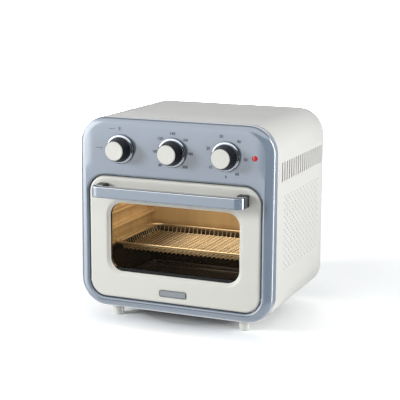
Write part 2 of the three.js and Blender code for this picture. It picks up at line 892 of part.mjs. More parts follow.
// Plan of a strap let into the bar's front and round its corners, between two depths
function inlayStrap(front, back, margin) {
  const centre = handleHalfLength - handleCornerRadius;
  const turn = (Math.PI / 2) * inlayWrapShare + margin / handleCornerRadius;
  const corner = (side, depth) =>
    Array.from({ length: cornerSteps + 1 }, (_, i) => {
      const angle = (turn * i) / cornerSteps;
      const radius = handleCornerRadius - depth;
      return new THREE.Vector2(
        side * (centre + radius * Math.sin(angle)),
        handleFront + handleCornerRadius - radius * Math.cos(angle),
      );
    });
  return shapeOf([
    ...corner(-1, front).reverse(),
    ...corner(1, front),
    ...corner(1, back).reverse(),
    ...corner(-1, back),
  ]);
}

function makeHandleInlay() {
  return alongZ(inlayStrap(-inlayProud, inlayDepth, 0), inlayLow, inlayLow + inlayHeight);
}

function makeHandleSpacer(side) {
  const outer = handleHalfLength - spacerInset;
  const outline = roundedPoints({
    half: spacerWidth / 2,
    low: handleCentre - spacerHeight / 2,
    high: handleCentre + spacerHeight / 2,
    radius: spacerCorner,
  }, 3);
  const back = doorFace - seatGap;
  const spacer = alongY(shapeOf(outline), back - spacerDepth, back);
  return spacer.translate(side * (outer - spacerWidth / 2), 0, 0);
}

// Knob skirt: a plated ring that lies behind the grip
function makeKnobSkirt(x) {
  const back = knobStandoff;
  const front = back + skirtThickness;
  const profile = [
    [skirtBoreRadius, back],
    [skirtRadius, back],
    [skirtRadius, back + skirtEdge],
    [skirtRadius - skirtTaper, front - skirtLip],
    [skirtRadius - skirtTaper - skirtLip, front],
    [skirtBoreRadius, front],
    [skirtBoreRadius, back],
  ];
  return turnedOut(profile, knobSteps).translate(x, 0, knobHeight);
}

// Knob grip: a tapered body with a spigot inside the skirt, a bore for the shaft and a seat for the cap
function makeKnobGrip(x) {
  const spigot = skirtBoreRadius - seatGap;
  const base = knobStandoff + skirtThickness + seatGap;
  const bore = shaftRadius + shaftBoreClearance;
  const boreEnd = knobStandoff + shaftGripDepth + seatGap;
  const seat = capProud - capThickness - seatGap;
  const profile = [
    [0, boreEnd],
    [bore, boreEnd],
    [bore, knobStandoff],
    [spigot, knobStandoff],
    [spigot, base],
    [gripBaseRadius, base],
    [gripBaseRadius, base + gripLip],
    [gripFrontRadius, gripProud - gripLip],
    [gripFrontRadius - gripLip / 2, gripProud],
    [capRadius + seatGap, gripProud],
    [capRadius + seatGap, seat],
    [0, seat],
  ];
  return turnedOut(profile, knobSteps).translate(x, 0, knobHeight);
}

function makeKnobCap(x) {
  const back = capProud - capThickness;
  const profile = [
    [0, back],
    [capRadius, back],
    ...quarterRound(capRadius - capRound, capProud - capRound, capRound, 0, 1 / 4, 2),
    [0, capProud],
  ];
  return turnedOut(profile, knobSteps).translate(x, 0, knobHeight);
}

function makeShaft(x) {
  const reach = knobStandoff + shaftGripDepth;
  const end = cavityFront + shaftInsertion;
  return alongY(shapeOf(circlePoints(x, knobHeight, shaftRadius, pinSteps)), -reach, end);
}

// Switch body: its threaded bush comes forward through the chassis plate and carries the shaft
function makeSwitch(x, outline, depth) {
  const back = cavityFront + depth;
  const bore = circlePoints(x, knobHeight, shaftRadius + shaftBoreClearance);
  const housing = alongY(shapeOf(outline), cavityFront, back);
  const bushFront = chassisFront - bushProud;
  const bush = alongY(shapeOf(circlePoints(x, knobHeight, bushRadius)), bushFront, back - bushProud);
  const boreEnd = cavityFront + shaftInsertion + seatGap;
  return cut(join([housing, bush]), [alongY(shapeOf(bore), bushFront - cutOverrun, boreEnd)]);
}

function squareOutline(x, width, height) {
  const centred = { half: width / 2, low: knobHeight - height / 2, high: knobHeight + height / 2 };
  return roundedPoints({ ...centred, radius: switchCorner }, 2).map((p) => p.setX(p.x + x));
}

// Pilot lens: a domed light pipe that runs from the bezel's face to its holder
function makePilotLens() {
  const profile = [
    [0, -pilotStemLength],
    [pilotStemRadius, -pilotStemLength],
    [pilotStemRadius, seatGap],
    [pilotRadius, seatGap],
    [pilotRadius, pilotDome / 2],
    [pilotRadius / 2, pilotDome],
    [0, pilotDome],
  ];
  return turnedOut(profile).translate(pilotOffset, 0, knobHeight);
}

function makePilotHolder() {
  const end = cavityFront + pilotHolderLength;
  const boreEnd = pilotStemLength + seatGap;
  const bore = pilotStemRadius + pilotHoleClearance;
  const profile = [
    [0, boreEnd],
    [bore, boreEnd],
    [bore, cavityFront],
    [pilotHolderRadius, cavityFront],
    [pilotHolderRadius, end],
    [0, end],
  ];
  return turnedBack(profile).translate(pilotOffset, 0, knobHeight);
}

// Fan housing: a spun dish over the roof's mouth, with a hole for the shaft
function makeFanHousing() {
  const low = roofTop + seatGap;
  const high = low + housingHeight;
  const inner = fanMouthRadius;
  const outer = inner + housingSheet;
  const profile = [
    [outer + housingFlange, low],
    [outer + housingFlange, low + housingSheet],
    [outer, low + housingSheet],
    [outer, high - 2 * housingSheet],
    [outer - 2 * housingSheet, high],
    [shaftHoleRadius, high],
    [shaftHoleRadius, high - housingSheet],
    [inner - 2 * housingSheet, high - housingSheet],
    [inner, high - 3 * housingSheet],
    [inner, low],
    [outer + housingFlange, low],
  ];
  return aboutFan(turnedUp(profile, knobSteps));
}

function aboutFan(geometry) {
  return geometry.translate(fanAxis.x, fanAxis.y, 0);
}

// Ring profile of a hub that slides on the fan shaft
function hubProfile(radius, low, high) {
  const bore = fanShaftRadius + shaftBoreClearance;
  return [[bore, low], [radius, low], [radius, high], [bore, high], [bore, low]];
}

// Impeller: a plate on a hub, with swept blades under it
function makeImpeller() {
  const low = roofTop + impellerLift;
  const plateLow = low + impellerBladeHeight;
  const plateHigh = plateLow + impellerPlate;
  const bore = fanShaftRadius + shaftBoreClearance;
  const profile = [
    [bore, plateLow - impellerHubRadius],
    [impellerHubRadius, plateLow - impellerHubRadius],
    [impellerHubRadius, plateLow],
    [impellerRadius, plateLow],
    [impellerRadius, plateHigh],
    [bore, plateHigh],
    [bore, plateLow - impellerHubRadius],
  ];
  const sweep = Math.PI / 5;
  const bladeSteps = 3;
  const start = impellerHubRadius * impellerBladeStartShare;
  const line = Array.from({ length: bladeSteps + 1 }, (_, i) => {
    const along = i / bladeSteps;
    const radius = start + (impellerRadius - impellerPlate - start) * along;
    return [radius * Math.cos(sweep * along), radius * Math.sin(sweep * along)];
  });
  const blade = shapeOf(bentSheet(line, impellerBladeSheet));
  const blades = Array.from({ length: impellerBladeCount }, (_, i) =>
    alongZ(blade, low, plateLow + impellerPlate / 2).rotateZ((2 * Math.PI * i) / impellerBladeCount),
  );
  return aboutFan(join([turnedUp(profile, knobSteps), ...blades]));
}

function makeFanShaft() {
  const low = roofTop + impellerLift + impellerBladeHeight - impellerHubRadius;
  const high = coolingFanLow + coolingBladeHeight + seatGap;
  return alongZ(shapeOf(circlePoints(fanAxis.x, fanAxis.y, fanShaftRadius, pinSteps)), low, high);
}

// Motor bracket: a strap over the fan housing with its feet on the roof
function makeMotorBracket() {
  const foot = roofTop + seatGap;
  const top = foot + motorBracketRise;
  const knee = motorBracketHalfSpan - motorBracketFoot;
  const line = [
    [-motorBracketHalfSpan, foot],
    [-knee, foot],
    [-knee, top - motorBracketSheet],
    [knee, top - motorBracketSheet],
    [knee, foot],
    [motorBracketHalfSpan, foot],
  ];
  const half = motorBracketWidth / 2;
  const strap = alongY(shapeOf(bentSheet(line, motorBracketSheet)), fanAxis.y - half, fanAxis.y + half);
  const hole = circlePoints(fanAxis.x, fanAxis.y, motorBossRadius + seatGap);
  return cut(strap, [alongZ(shapeOf(hole), top - motorBracketSheet - cutOverrun, top + cutOverrun)]);
}

// Motor: a drum with a locating boss in the bracket and a bore that the shaft runs through
function makeMotor() {
  const bore = fanShaftRadius + shaftBoreClearance;
  const edge = motorBossHeight / 2;
  const profile = [
    [bore, motorLow - motorBossHeight],
    [motorBossRadius, motorLow - motorBossHeight],
    [motorBossRadius, motorLow],
    [motorRadius - edge, motorLow],
    [motorRadius, motorLow + edge],
    [motorRadius, motorHigh - edge],
    [motorRadius - edge, motorHigh],
    [bore, motorHigh],
    [bore, motorLow - motorBossHeight],
  ];
  return aboutFan(turnedUp(profile));
}

// Cooling fan: pitched blades on a hub above the motor
function makeCoolingFan() {
  const hubHigh = coolingFanLow + coolingBladeHeight;
  const hub = turnedUp(hubProfile(impellerHubRadius, coolingFanLow, hubHigh));
  const inner = (impellerHubRadius + fanShaftRadius) / 2 + shaftBoreClearance;
  const length = coolingFanRadius - inner;
  const blades = Array.from({ length: coolingBladeCount }, (_, i) =>
    new THREE.BoxGeometry(length, coolingBladeHeight, impellerBladeSheet)
      .rotateX(Math.PI / 5)
      .translate(inner + length / 2, 0, (coolingFanLow + hubHigh) / 2)
      .rotateZ((2 * Math.PI * i) / coolingBladeCount),
  );
  return aboutFan(join([hub, ...blades]));
}

// Heating coil: a flat spiral whose inner end crosses over its turns to a second lead
function makeHeatingCoil() {
  const plane = cavityCeiling - coilDrop - coilTubeRadius;
  const crossing = plane + 2 * coilTubeRadius + coilCrossGap;
  const leadTop = roofTop + coilLeadRise;
  const [outerTurn, innerTurn] = coilLeadTurnShares;
  const place = (radius, turn, height) => {
    const angle = 2 * Math.PI * turn;
    const arm = new THREE.Vector3(radius * Math.cos(angle), radius * Math.sin(angle), height);
    return arm.add(fanAxis);
  };
  const bend = coilBendRadius;
  const spiralSteps = coilTurns * 10;
  const lastTurn = innerTurn + coilTurns - coilEndShare;
  const firstTurn = outerTurn + coilStartShare;
  const spiral = Array.from({ length: spiralSteps + 1 }, (_, i) => {
    const along = i / spiralSteps;
    const radius = coilOuterRadius + (coilInnerRadius - coilOuterRadius) * along;
    return place(radius, firstTurn + (lastTurn - firstTurn) * along, plane);
  });
  const inner = coilInnerRadius;
  const route = [
    place(coilLeadRadius, outerTurn, leadTop),
    place(coilLeadRadius, outerTurn, plane + 2 * bend),
    place(coilLeadRadius, outerTurn, plane + bend),
    place(coilLeadRadius - bend / 4, outerTurn + coilStartShare / 4, plane + bend / 4),
    ...spiral,
    place(inner, innerTurn + coilTurns - coilEndShare / 2, (2 * plane + crossing) / 3),
    place(inner + bend / 2, innerTurn, crossing),
    place(coilOuterRadius, innerTurn, crossing),
    place(coilLeadRadius - bend, innerTurn, crossing),
    place(coilLeadRadius - bend / 4, innerTurn, crossing + bend / 4),
    place(coilLeadRadius, innerTurn, crossing + bend),
    place(coilLeadRadius, innerTurn, leadTop),
  ];
  const path = new THREE.CatmullRomCurve3(route, false, "centripetal");
  const section = shapeOf(circlePoints(0, 0, coilTubeRadius, coilSides));
  return extrude(section, 0, { extrudePath: path, steps: coilSteps });
}

// Coil guard: a pressed cup under the coil, pierced by rings of curved slots
function makeCoilGuard() {
  const low = cavityCeiling - guardDepth;
  const high = cavityCeiling - seatGap;
  const corner = 2 * guardSheet;
  const profile = [
    [0, low],
    [guardRadius - corner, low],
    [guardRadius, low + corner],
    [guardRadius, high - guardSheet],
    [guardRadius + guardFlange, high - guardSheet],
    [guardRadius + guardFlange, high],
    [guardRadius - guardSheet, high],
    [guardRadius - guardSheet, low + corner],
    [guardRadius - corner, low + guardSheet],
    [0, low + guardSheet],
  ];
  const slots = guardRims.flatMap((radius, ring) =>
    Array.from({ length: guardSlotCounts[ring] }, (_, i) => {
      const step = (2 * Math.PI) / guardSlotCounts[ring];
      const half = step / 2 - guardBar / 2 / radius;
      const arc = (r, from, to) =>
        [0, 1, 2].map((j) => {
          const angle = i * step + from + ((to - from) * j) / 2;
          return new THREE.Vector2(r * Math.cos(angle), r * Math.sin(angle));
        });
      const outer = arc(radius + guardSlotWidth / 2, -half, half);
      return shapeOf([...outer, ...arc(radius - guardSlotWidth / 2, half, -half)]);
    }),
  );
  const cutter = alongZ(slots, low - cutOverrun, low + cutOverrun + guardSheet);
  return aboutFan(cut(turnedUp(profile, knobSteps), [cutter]));
}

// A pressed pan: a floor, sloped sides and a flat flange round the rim
function makePan({ outline, rim, taper, low, high, sheet }) {
  const level = (ring, z) => roundedPoints(ring, innerSteps).map((p) => new THREE.Vector3(p.x, p.y, z));
  const foot = inset(outline, taper);
  const round = 2 * sheet;
  return skin([
    level(inset(foot, round), low),
    level(foot, low + round),
    level(outline, high - sheet),
    level(rim, high - sheet),
    level(rim, high),
    level(inset(outline, sheet), high),
    level(inset(foot, sheet), low + round + sheet / 2),
    level(inset(foot, round + sheet / 2), low + sheet),
  ], false);
}

// Fry basket: hangs by its flange on the lowest runners, with a grid of holes in its floor
function makeFryBasket() {
  const edge = basketHalfWidth + basketFlange;
  const high = runnerTop(runnerHeights[0], edge) + basketRunGap + basketSheet;
  const low = high - basketDepth;
  const outline = {
    half: basketHalfWidth,
    low: basketFront,
    high: basketFront + basketLength,
    radius: basketCorner,
  };
  const rim = { ...inset(outline, -basketLip), half: edge };
  const pan = makePan({ outline, rim, taper: basketTaper, low, high, sheet: basketSheet });
  const columns = Math.floor((2 * basketHalfWidth - 2 * basketHoleMargin) / basketHolePitch);
  const rows = Math.floor((basketLength - 2 * basketHoleMargin) / basketHolePitch);
  const middle = basketFront + basketLength / 2;
  const holes = Array.from({ length: rows * columns }, (_, i) => {
    const x = ((i % columns) - (columns - 1) / 2) * basketHolePitch;
    const y = middle + (Math.floor(i / columns) - (rows - 1) / 2) * basketHolePitch;
    return shapeOf(circlePoints(x, y, basketHole / 2, 4));
  });
  return cut(pan, [alongZ(holes, low - cutOverrun, low + basketSheet + cutOverrun)]);
}

// Crumb tray: lies on the cavity floor
function makeCrumbTray() {
  const low = cavityFloor + seatGap;
  const outline = { half: trayHalfWidth, low: trayFront, high: trayFront + trayLength, radius: trayCorner };
  const rim = inset(outline, -trayFlange);
  return makePan({ outline, rim, taper: trayFlange / 2, low, high: low + trayHeight, sheet: traySheet });
}

add("front_bezel", makeBezel(), "blue");
add("outer_wrap", makeWrap(), "cream");
add("base_plate", makeBasePlate(), "zincSteel");
add("rear_panel", makeRearPanel(), "cream");
add("cord_bushing", makeCordBushing(), "black");
const footSide = halfWidth - footSideInset;
const footBack = bodyDepth - footRearInset;
add("foot_front_left", makeFoot(-footSide, footFrontInset), "creamGloss");
add("foot_front_right", makeFoot(footSide, footFrontInset), "creamGloss");
add("foot_rear_left", makeFoot(-footSide, footBack), "creamGloss");
add("foot_rear_right", makeFoot(footSide, footBack), "creamGloss");

add("chassis_plate", makeChassisPlate(), "zincSteel");
add("cavity_left_wall", makeCavityWall(-1), "cavitySteel");
add("cavity_right_wall", makeCavityWall(1), "cavitySteel");
add("cavity_floor", makeCavityFloor(), "cavitySteel");
add("cavity_back", makeCavityBack(), "cavitySteel");
add("cavity_roof", makeCavityRoof(), "cavitySteel");

add("door_frame", makeDoorFrame(), "creamGloss");
add("door_glass", makeDoorGlass(), "glass");
add("door_liner", makeDoorLiner(), "cavitySteel");
add("badge_plate", makeBadgePlate(), "badge");
add("hinge_pin_left", makeHingePin(-1), "zincSteel");
add("hinge_pin_right", makeHingePin(1), "zincSteel");
add("hinge_plate_left", makeHingePlate(-1), "zincSteel");
add("hinge_plate_right", makeHingePlate(1), "zincSteel");
add("handle_bar", makeHandleBar(), "chrome");
add("handle_inlay", makeHandleInlay(), "blue");
add("handle_spacer_left", makeHandleSpacer(-1), "black");
add("handle_spacer_right", makeHandleSpacer(1), "black");

const switchOutlines = {
  mode: circlePoints(knobPlaces.mode, knobHeight, switchRadius),
  temperature: squareOutline(knobPlaces.temperature, thermostatWidth, thermostatHeight),
  timer: squareOutline(knobPlaces.timer, timerWidth, timerHeight),
};
const switchNames = { mode: "mode_switch", temperature: "thermostat", timer: "timer_mechanism" };
for (const [name, x] of Object.entries(knobPlaces)) {
  add(name + "_knob_skirt", makeKnobSkirt(x), "chrome");
  add(name + "_knob_grip", makeKnobGrip(x), "gripBlack");
  add(name + "_knob_cap", makeKnobCap(x), "creamGloss");
  add(name + "_shaft", makeShaft(x), "zincSteel");
  const depth = name === "timer" ? timerDepth : switchDepth;
  add(switchNames[name], makeSwitch(x, switchOutlines[name], depth), "black");
}
add("pilot_lens", makePilotLens(), "pilotRed");
add("pilot_holder", makePilotHolder(), "black");

add("fan_housing", makeFanHousing(), "zincSteel");
add("fan_impeller", makeImpeller(), "zincSteel");
add("fan_shaft", makeFanShaft(), "zincSteel");
add("fan_motor", makeMotor(), "motorSteel");
add("motor_bracket", makeMotorBracket(), "zincSteel");
add("cooling_fan", makeCoolingFan(), "black");
add("heating_coil", makeHeatingCoil(), "coilSteel");
add("coil_guard", makeCoilGuard(), "cavitySteel");

add("fry_basket", makeFryBasket(), "wireSteel");
add("crumb_tray", makeCrumbTray(), "trayBlack");

export default oven;
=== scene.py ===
"""Air fryer oven: the finished surfaces, materials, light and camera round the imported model.

Metres, +Z up. The front faces -Y, and +X is the viewer's right.
"""

import math

import bpy
import numpy as np
from mathutils import Matrix, Vector
from mathutils.geometry import delaunay_2d_cdt


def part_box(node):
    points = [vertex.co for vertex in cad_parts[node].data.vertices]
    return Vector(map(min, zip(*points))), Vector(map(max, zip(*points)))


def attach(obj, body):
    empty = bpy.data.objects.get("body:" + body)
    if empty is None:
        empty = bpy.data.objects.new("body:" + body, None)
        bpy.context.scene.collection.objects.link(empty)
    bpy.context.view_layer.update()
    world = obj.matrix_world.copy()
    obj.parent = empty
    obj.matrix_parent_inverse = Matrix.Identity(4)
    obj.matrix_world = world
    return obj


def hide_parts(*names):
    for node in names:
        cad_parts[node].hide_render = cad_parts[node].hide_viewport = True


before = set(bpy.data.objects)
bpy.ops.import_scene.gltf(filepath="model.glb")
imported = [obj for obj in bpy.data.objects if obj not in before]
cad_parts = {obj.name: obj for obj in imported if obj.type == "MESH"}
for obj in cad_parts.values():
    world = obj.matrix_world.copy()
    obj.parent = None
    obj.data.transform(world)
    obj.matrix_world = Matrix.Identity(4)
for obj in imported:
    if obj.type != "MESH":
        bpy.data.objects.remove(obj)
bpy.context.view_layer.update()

# Camera: fitted to the body's edges, the bezel's seam and the door gap
CAMERA_PLACE = (0.718, -1.705, 0.5563)
CAMERA_YAW = math.radians(22.84)
CAMERA_PITCH = math.radians(11.53)
CAMERA_ROLL = math.radians(-0.26)
CAMERA_LENS = 106.8
CAMERA_FAR = 60
SENSOR = 36.0


def linked(name, data):
    """A new object of the data, in the scene."""
    made = bpy.data.objects.new(name, data)
    bpy.context.scene.collection.objects.link(made)
    return made


def make_camera():
    """Looks to the left of +Y by the yaw and below level by the pitch, then rolls about the line of sight."""
    level = Vector((-math.sin(CAMERA_YAW), math.cos(CAMERA_YAW), 0))
    ahead = level * math.cos(CAMERA_PITCH) - Vector((0, 0, math.sin(CAMERA_PITCH)))
    right = ahead.cross(Vector((0, 0, 1))).normalized()
    up = right.cross(ahead)
    rolled = Matrix.Rotation(CAMERA_ROLL, 3, ahead)
    turn = Matrix((rolled @ right, rolled @ up, -ahead)).transposed()
    data = bpy.data.cameras.new("camera")
    data.lens = CAMERA_LENS
    data.sensor_width = SENSOR
    data.clip_end = CAMERA_FAR
    camera = linked("camera", data)
    camera.matrix_world = Matrix.Translation(CAMERA_PLACE) @ turn.to_4x4()
    bpy.context.scene.camera = camera


make_camera()

# Sizes that several pieces share, from the frame where it has them
bezel_low, bezel_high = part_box("front_bezel")
FRONT = bezel_low.y
BODY_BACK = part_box("outer_wrap")[1].y
CORNER_RADIUS = 0.0426
OPENING_SIDE = 0.0167
OPENING_SILL = 0.0154
CONTROL_BAND = 0.089
OPENING_RADIUS = 0.028
WINDOW_SIDE, WINDOW_SILL, WINDOW_HEAD, WINDOW_RADIUS = 0.034, 0.0423, 0.0407, 0.021
DOOR_GAP = 0.0018
SEAT_GAP = 0.0003
HOLD = 0.0006
HANDLE_ROUND = 0.013
INLAY_TURN = math.radians(60)
CORNER_STEPS = 24
ROUND_STEPS = 96
SHARP_TURN = math.radians(32)
SAME_POINT = 1e-7
# Rings narrower than this stay round on a fluted piece
FLUTED_FROM = 0.0152
# How near a corner a side is held on small outlines
SMALL_EASE = 0.001
# The basket's runners over the cavity's floor, and the coil's leads round the fan's axis, in shares of a turn
RUNNER_RISES = (0.1195, 0.0945, 0.0695)
LEAD_REACH = 0.0755
LEAD_TURNS = (0.27, 0.23)


# Shapes


class Outline:
    """A rounded rectangle in two directions: its half width, lower edge, upper edge and corner radius."""

    ease = 0.004  # how near a corner a side is held

    def __init__(self, half, low, high, radius):
        self.half = half
        self.low = low
        self.high = high
        self.radius = radius

    def inset(self, by):
        """The same rectangle with every side moved in."""
        return Outline(self.half - by, self.low + by, self.high - by, self.radius - by)

    def points(self, steps=CORNER_STEPS):
        """Four quarter circles, anticlockwise from the lower right, with two points held near the ends of each side."""
        right, left = self.half - self.radius, self.radius - self.half
        low, high = self.low + self.radius, self.high - self.radius
        corners = [(right, low, -1), (right, high, 0), (left, high, 1), (left, low, 2)]
        arcs = [arc((x, z), self.radius, q / 4, (q + 1) / 4, steps) for x, z, q in corners]
        pieces = []
        for bend, after in zip(arcs, arcs[1:] + arcs[:1]):
            side = after[0] - bend[-1]
            short = side * min(self.ease / np.linalg.norm(side), 0.25)
            pieces += [bend, bend[-1:] + short, after[:1] - short]
        return np.concatenate(pieces)


def ring(outline, depth):
    """An outline's points in X and Z, at a depth behind the front."""
    flat = outline.points()
    return np.stack([flat[:, 0], np.full(len(flat), FRONT + depth), flat[:, 1]], 1)


def stacked(outline, profile):
    """A ring for each inset and depth of a profile."""
    return [ring(outline.inset(by), depth) for by, depth in profile]


def spoke(turn):
    """The point of a unit circle at an angle, or at each of several."""
    return np.stack([np.cos(turn), np.sin(turn)], -1)


def arc(centre, radius, start, end, steps=8):
    """Points of a circle between two turns, each a share of a whole turn: centre + radius across it."""
    return np.array(centre, float) + radius * spoke(np.linspace(start, end, steps + 1) * 2 * math.pi)


def held(line):
    """A line of points with two more near the ends of each long stretch, which keep smooth shading off the flats."""
    line = np.asarray(line, float)
    points = [line[0]]
    for before, after in zip(line[:-1], line[1:]):
        length = np.linalg.norm(after - before)
        if length > 4 * HOLD:
            points += [before + (after - before) * HOLD / length, after - (after - before) * HOLD / length]
        points.append(after)
    return np.array(points)


def put_in(name, vertices, faces):
    """A mesh object whose faces point outwards: they are turned round if the volume that they enclose is negative."""
    vertices = np.asarray(vertices, float)
    volume = 0.0
    for sides in faces:
        first = vertices[sides[:, 0]]
        for k in range(1, sides.shape[1] - 1):
            volume += np.einsum("ij,ij->", first, np.cross(vertices[sides[:, k]], vertices[sides[:, k + 1]]))
    lists = [side for sides in faces for side in (sides if volume > 0 else sides[:, ::-1]).tolist()]
    mesh = bpy.data.meshes.new(name)
    mesh.from_pydata(vertices.tolist(), [], lists)
    mesh.shade_smooth()
    mesh.set_sharp_from_angle(angle=SHARP_TURN)
    return linked(name, mesh)


def grid_faces(count, length, looped):
    """Quads between neighbouring rings, by the numbers of their points."""
    i = np.arange(count if looped else count - 1)[:, None] * length
    after = (i + length) % (count * length)
    j = np.arange(length)[None]
    k = (j + 1) % length
    return np.stack([i + j, i + k, after + k, after + j], -1).reshape(-1, 4)


def skin(name, rings, looped=False):
    """A surface through rings of equal length. Looped, the last joins the first; otherwise a fan closes each end."""
    rings = np.asarray(rings, float)
    count, length = rings.shape[:2]
    vertices = rings.reshape(-1, 3)
    faces = [grid_faces(count, length, looped)]
    if not looped:
        j = np.arange(length)
        k = (j + 1) % length
        hubs = rings[[0, -1]].mean(1)
        last = (count - 1) * length
        base = len(vertices)
        faces.append(np.stack([np.full(length, base), k, j], 1))
        faces.append(np.stack([np.full(length, base + 1), last + j, last + k], 1))
        vertices = np.concatenate([vertices, hubs])
    return put_in(name, vertices, faces)


def turned(name, profile, centre, axis, looped=False, steps=ROUND_STEPS, flutes=0, sunk=0.0):
    """Radius and reach pairs carried round an axis: the point is centre + reach along it + radius across it.

    Flutes sink each ring that is wider than FLUTED_FROM by a share of its radius, which swings with the turn.
    """
    axis = np.asarray(axis, float)
    across = np.array([1.0, 0, 0]) if abs(axis[0]) < 0.5 else np.array([0, 1.0, 0])
    third = np.cross(axis, across)
    turn = np.arange(steps) * 2 * math.pi / steps
    wheel = np.cos(turn)[:, None] * across + np.sin(turn)[:, None] * third
    profile = np.asarray(profile, float)
    swing = sunk * (0.5 - 0.5 * np.cos(flutes * turn))
    radius = profile[:, :1] * (1 - swing * (profile[:, :1] > FLUTED_FROM))
    rings = np.asarray(centre) + profile[:, None, 1:] * axis + radius[..., None] * wheel
    return skin(name, rings, looped)


def plate(name, outline, front, back, edge, steps=5):
    """A rounded rectangle between two depths, with its front and back edges rounded by quarter circles."""
    turn = np.linspace(0, math.pi / 2, steps + 1)
    by = edge * (1 - np.cos(turn))
    depth = edge * (1 - np.sin(turn))
    half_round = [(by[i], front + depth[i]) for i in range(steps, -1, -1)]
    other = [(by[i], back - depth[i]) for i in range(steps + 1)]
    profile = held([(edge + HOLD, front)] + half_round + other + [(edge + HOLD, back)])
    return skin(name, stacked(outline, profile))


def wires(name, paths, radius, sides=8):
    """A circle carried along each of several paths; each ring's frame is the last one's, turned as the path turns."""
    paths = np.asarray(paths, float)
    along = np.gradient(paths, axis=1)
    along /= np.linalg.norm(along, axis=2, keepdims=True)
    start = np.cross(along[:, 0], (0.31, 0.22, 0.93))
    across = [start / np.linalg.norm(start, axis=1, keepdims=True)]
    for direction in along.swapaxes(0, 1)[1:]:
        side = across[-1] - direction * (across[-1] * direction).sum(1, keepdims=True)
        across.append(side / np.linalg.norm(side, axis=1, keepdims=True))
    across = np.stack(across, 1)
    third = np.cross(along, across)
    turn = np.arange(sides) * 2 * math.pi / sides
    rings = paths[:, :, None] + radius * (
        np.cos(turn)[:, None] * across[:, :, None] + np.sin(turn)[:, None] * third[:, :, None]
    )
    many, count = paths.shape[:2]
    length = count * sides
    vertices = rings.reshape(-1, 3)
    starts = np.arange(many)[:, None, None] * length
    walls = (grid_faces(count, sides, False)[None] + starts).reshape(-1, 4)
    first = starts[:, 0] + np.arange(sides)[None, ::-1]
    last = starts[:, 0] + length - sides + np.arange(sides)[None]
    return put_in(name, vertices, [walls, first, last])


def pierced(outline, holes, lines=()):
    """Triangles of a flat outline without its holes, with the given lines among their edges."""
    points = np.concatenate([outline, *holes, *lines])
    loops, start = [], 0
    for loop in [outline, *holes]:
        order = range(start, start + len(loop))
        after = np.roll(loop, -1, axis=0)
        clockwise = (loop[:, 0] * after[:, 1] - loop[:, 1] * after[:, 0]).sum() < 0
        loops.append(list(order)[::-1] if clockwise else list(order))
        start += len(loop)
    edges = []
    for line in lines:
        edges += [(start + i, start + i + 1) for i in range(len(line) - 1)]
        start += len(line)
    made = delaunay_2d_cdt([Vector(p) for p in points], edges, loops, 0, SAME_POINT)
    kept = [face for face, origin in zip(made[2], made[5]) if list(origin) == [0]]
    return np.array([list(p) for p in made[0]]), np.array(kept)


def sheet(name, outline, holes, thickness, lay, lines=()):
    """A pierced sheet: lay(points, offset) puts its flat points in space, at an offset of 0 and of the thickness."""
    points, triangles = pierced(outline, holes, lines)
    count = len(points)
    vertices = np.concatenate([lay(points, 0.0), lay(points, thickness)])
    directed = triangles[:, [0, 1, 1, 2, 2, 0]].reshape(-1, 2)
    known = set(map(tuple, directed.tolist()))
    rim = np.array([e for e in directed.tolist() if (e[1], e[0]) not in known])
    walls = np.stack([rim[:, 1], rim[:, 0], rim[:, 0] + count, rim[:, 1] + count], 1)
    return put_in(name, vertices, [triangles, triangles[:, ::-1] + count, walls])


def laid(axis, level, way):
    """What lays a flat sheet across an axis: along it, each point goes to level + way * offset."""

    def lay(points, offset):
        """The points with one more number each, the level and the offset."""
        return np.insert(points, axis, level + way * offset, axis=1)

    return lay


def slot(x, low, high, width, steps=6):
    """An upright slot with round ends, in its plane."""
    r = width / 2
    return np.concatenate([arc((x, low + r), r, 0.5, 1, steps), arc((x, high - r), r, 0, 0.5, steps)])


def circle(x, z, radius, steps=32):
    """A circle's points."""
    return arc((x, z), radius, 0, 1 - 1 / steps, steps - 1)


def curved_slot(middle, half_width, centre, half):
    """A slot along a circle, half an angle to each side of a centre: its sides are arcs, its ends half circles."""
    sweep = centre + np.linspace(-half, half, 12)
    ends = spoke(np.linspace(0, math.pi, 7)[1:-1])
    caps = []
    for at, sign in ((sweep[-1], 1), (sweep[0], -1)):
        out = spoke(at)
        side = np.array([-out[1], out[0]])
        caps.append(middle * out + half_width * sign * (ends[:, :1] * out + ends[:, 1:] * side))
    outer, inner = (middle + half_width) * spoke(sweep), (middle - half_width) * spoke(sweep[::-1])
    return np.concatenate([outer, caps[0], inner, caps[1]])


def unit_normals(line):
    """The normals to the left of a line of points, each square to the chord between its neighbours."""
    along = np.gradient(line, axis=0)
    along /= np.linalg.norm(along, axis=1)[:, None]
    return np.stack([-along[:, 1], along[:, 0]], 1)


def runs(line):
    """How far along a line of points each one lies."""
    return np.concatenate([[0], np.cumsum(np.linalg.norm(np.diff(line, axis=0), axis=1))])


def mirrored(line, sign=(-1, 1)):
    """A line from the middle outwards, with its mirror image before it."""
    return np.concatenate([line[:0:-1] * sign, line])


def rounded_line(points, bend, steps=5):
    """A line with its corners rounded to a bend radius, and its normals to the left."""
    points = np.asarray(points, float)
    made = [points[0]]
    for before, corner, after in zip(points[:-2], points[1:-1], points[2:]):
        a = (before - corner) / np.linalg.norm(before - corner)
        b = (after - corner) / np.linalg.norm(after - corner)
        half = math.acos(np.clip(a @ b, -1, 1)) / 2
        reach = bend / math.tan(half)
        middle = corner + (a + b) / np.linalg.norm(a + b) * bend / math.sin(half)
        start = corner + a * reach - middle
        end = corner + b * reach - middle
        sweep = math.atan2(start[0] * end[1] - start[1] * end[0], start @ end)
        for turn in np.linspace(0, sweep, steps + 1):
            c, s = math.cos(turn), math.sin(turn)
            made.append(middle + (c * start[0] - s * start[1], s * start[0] + c * start[1]))
    made.append(points[-1])
    made = held(made)
    return made, unit_normals(made)


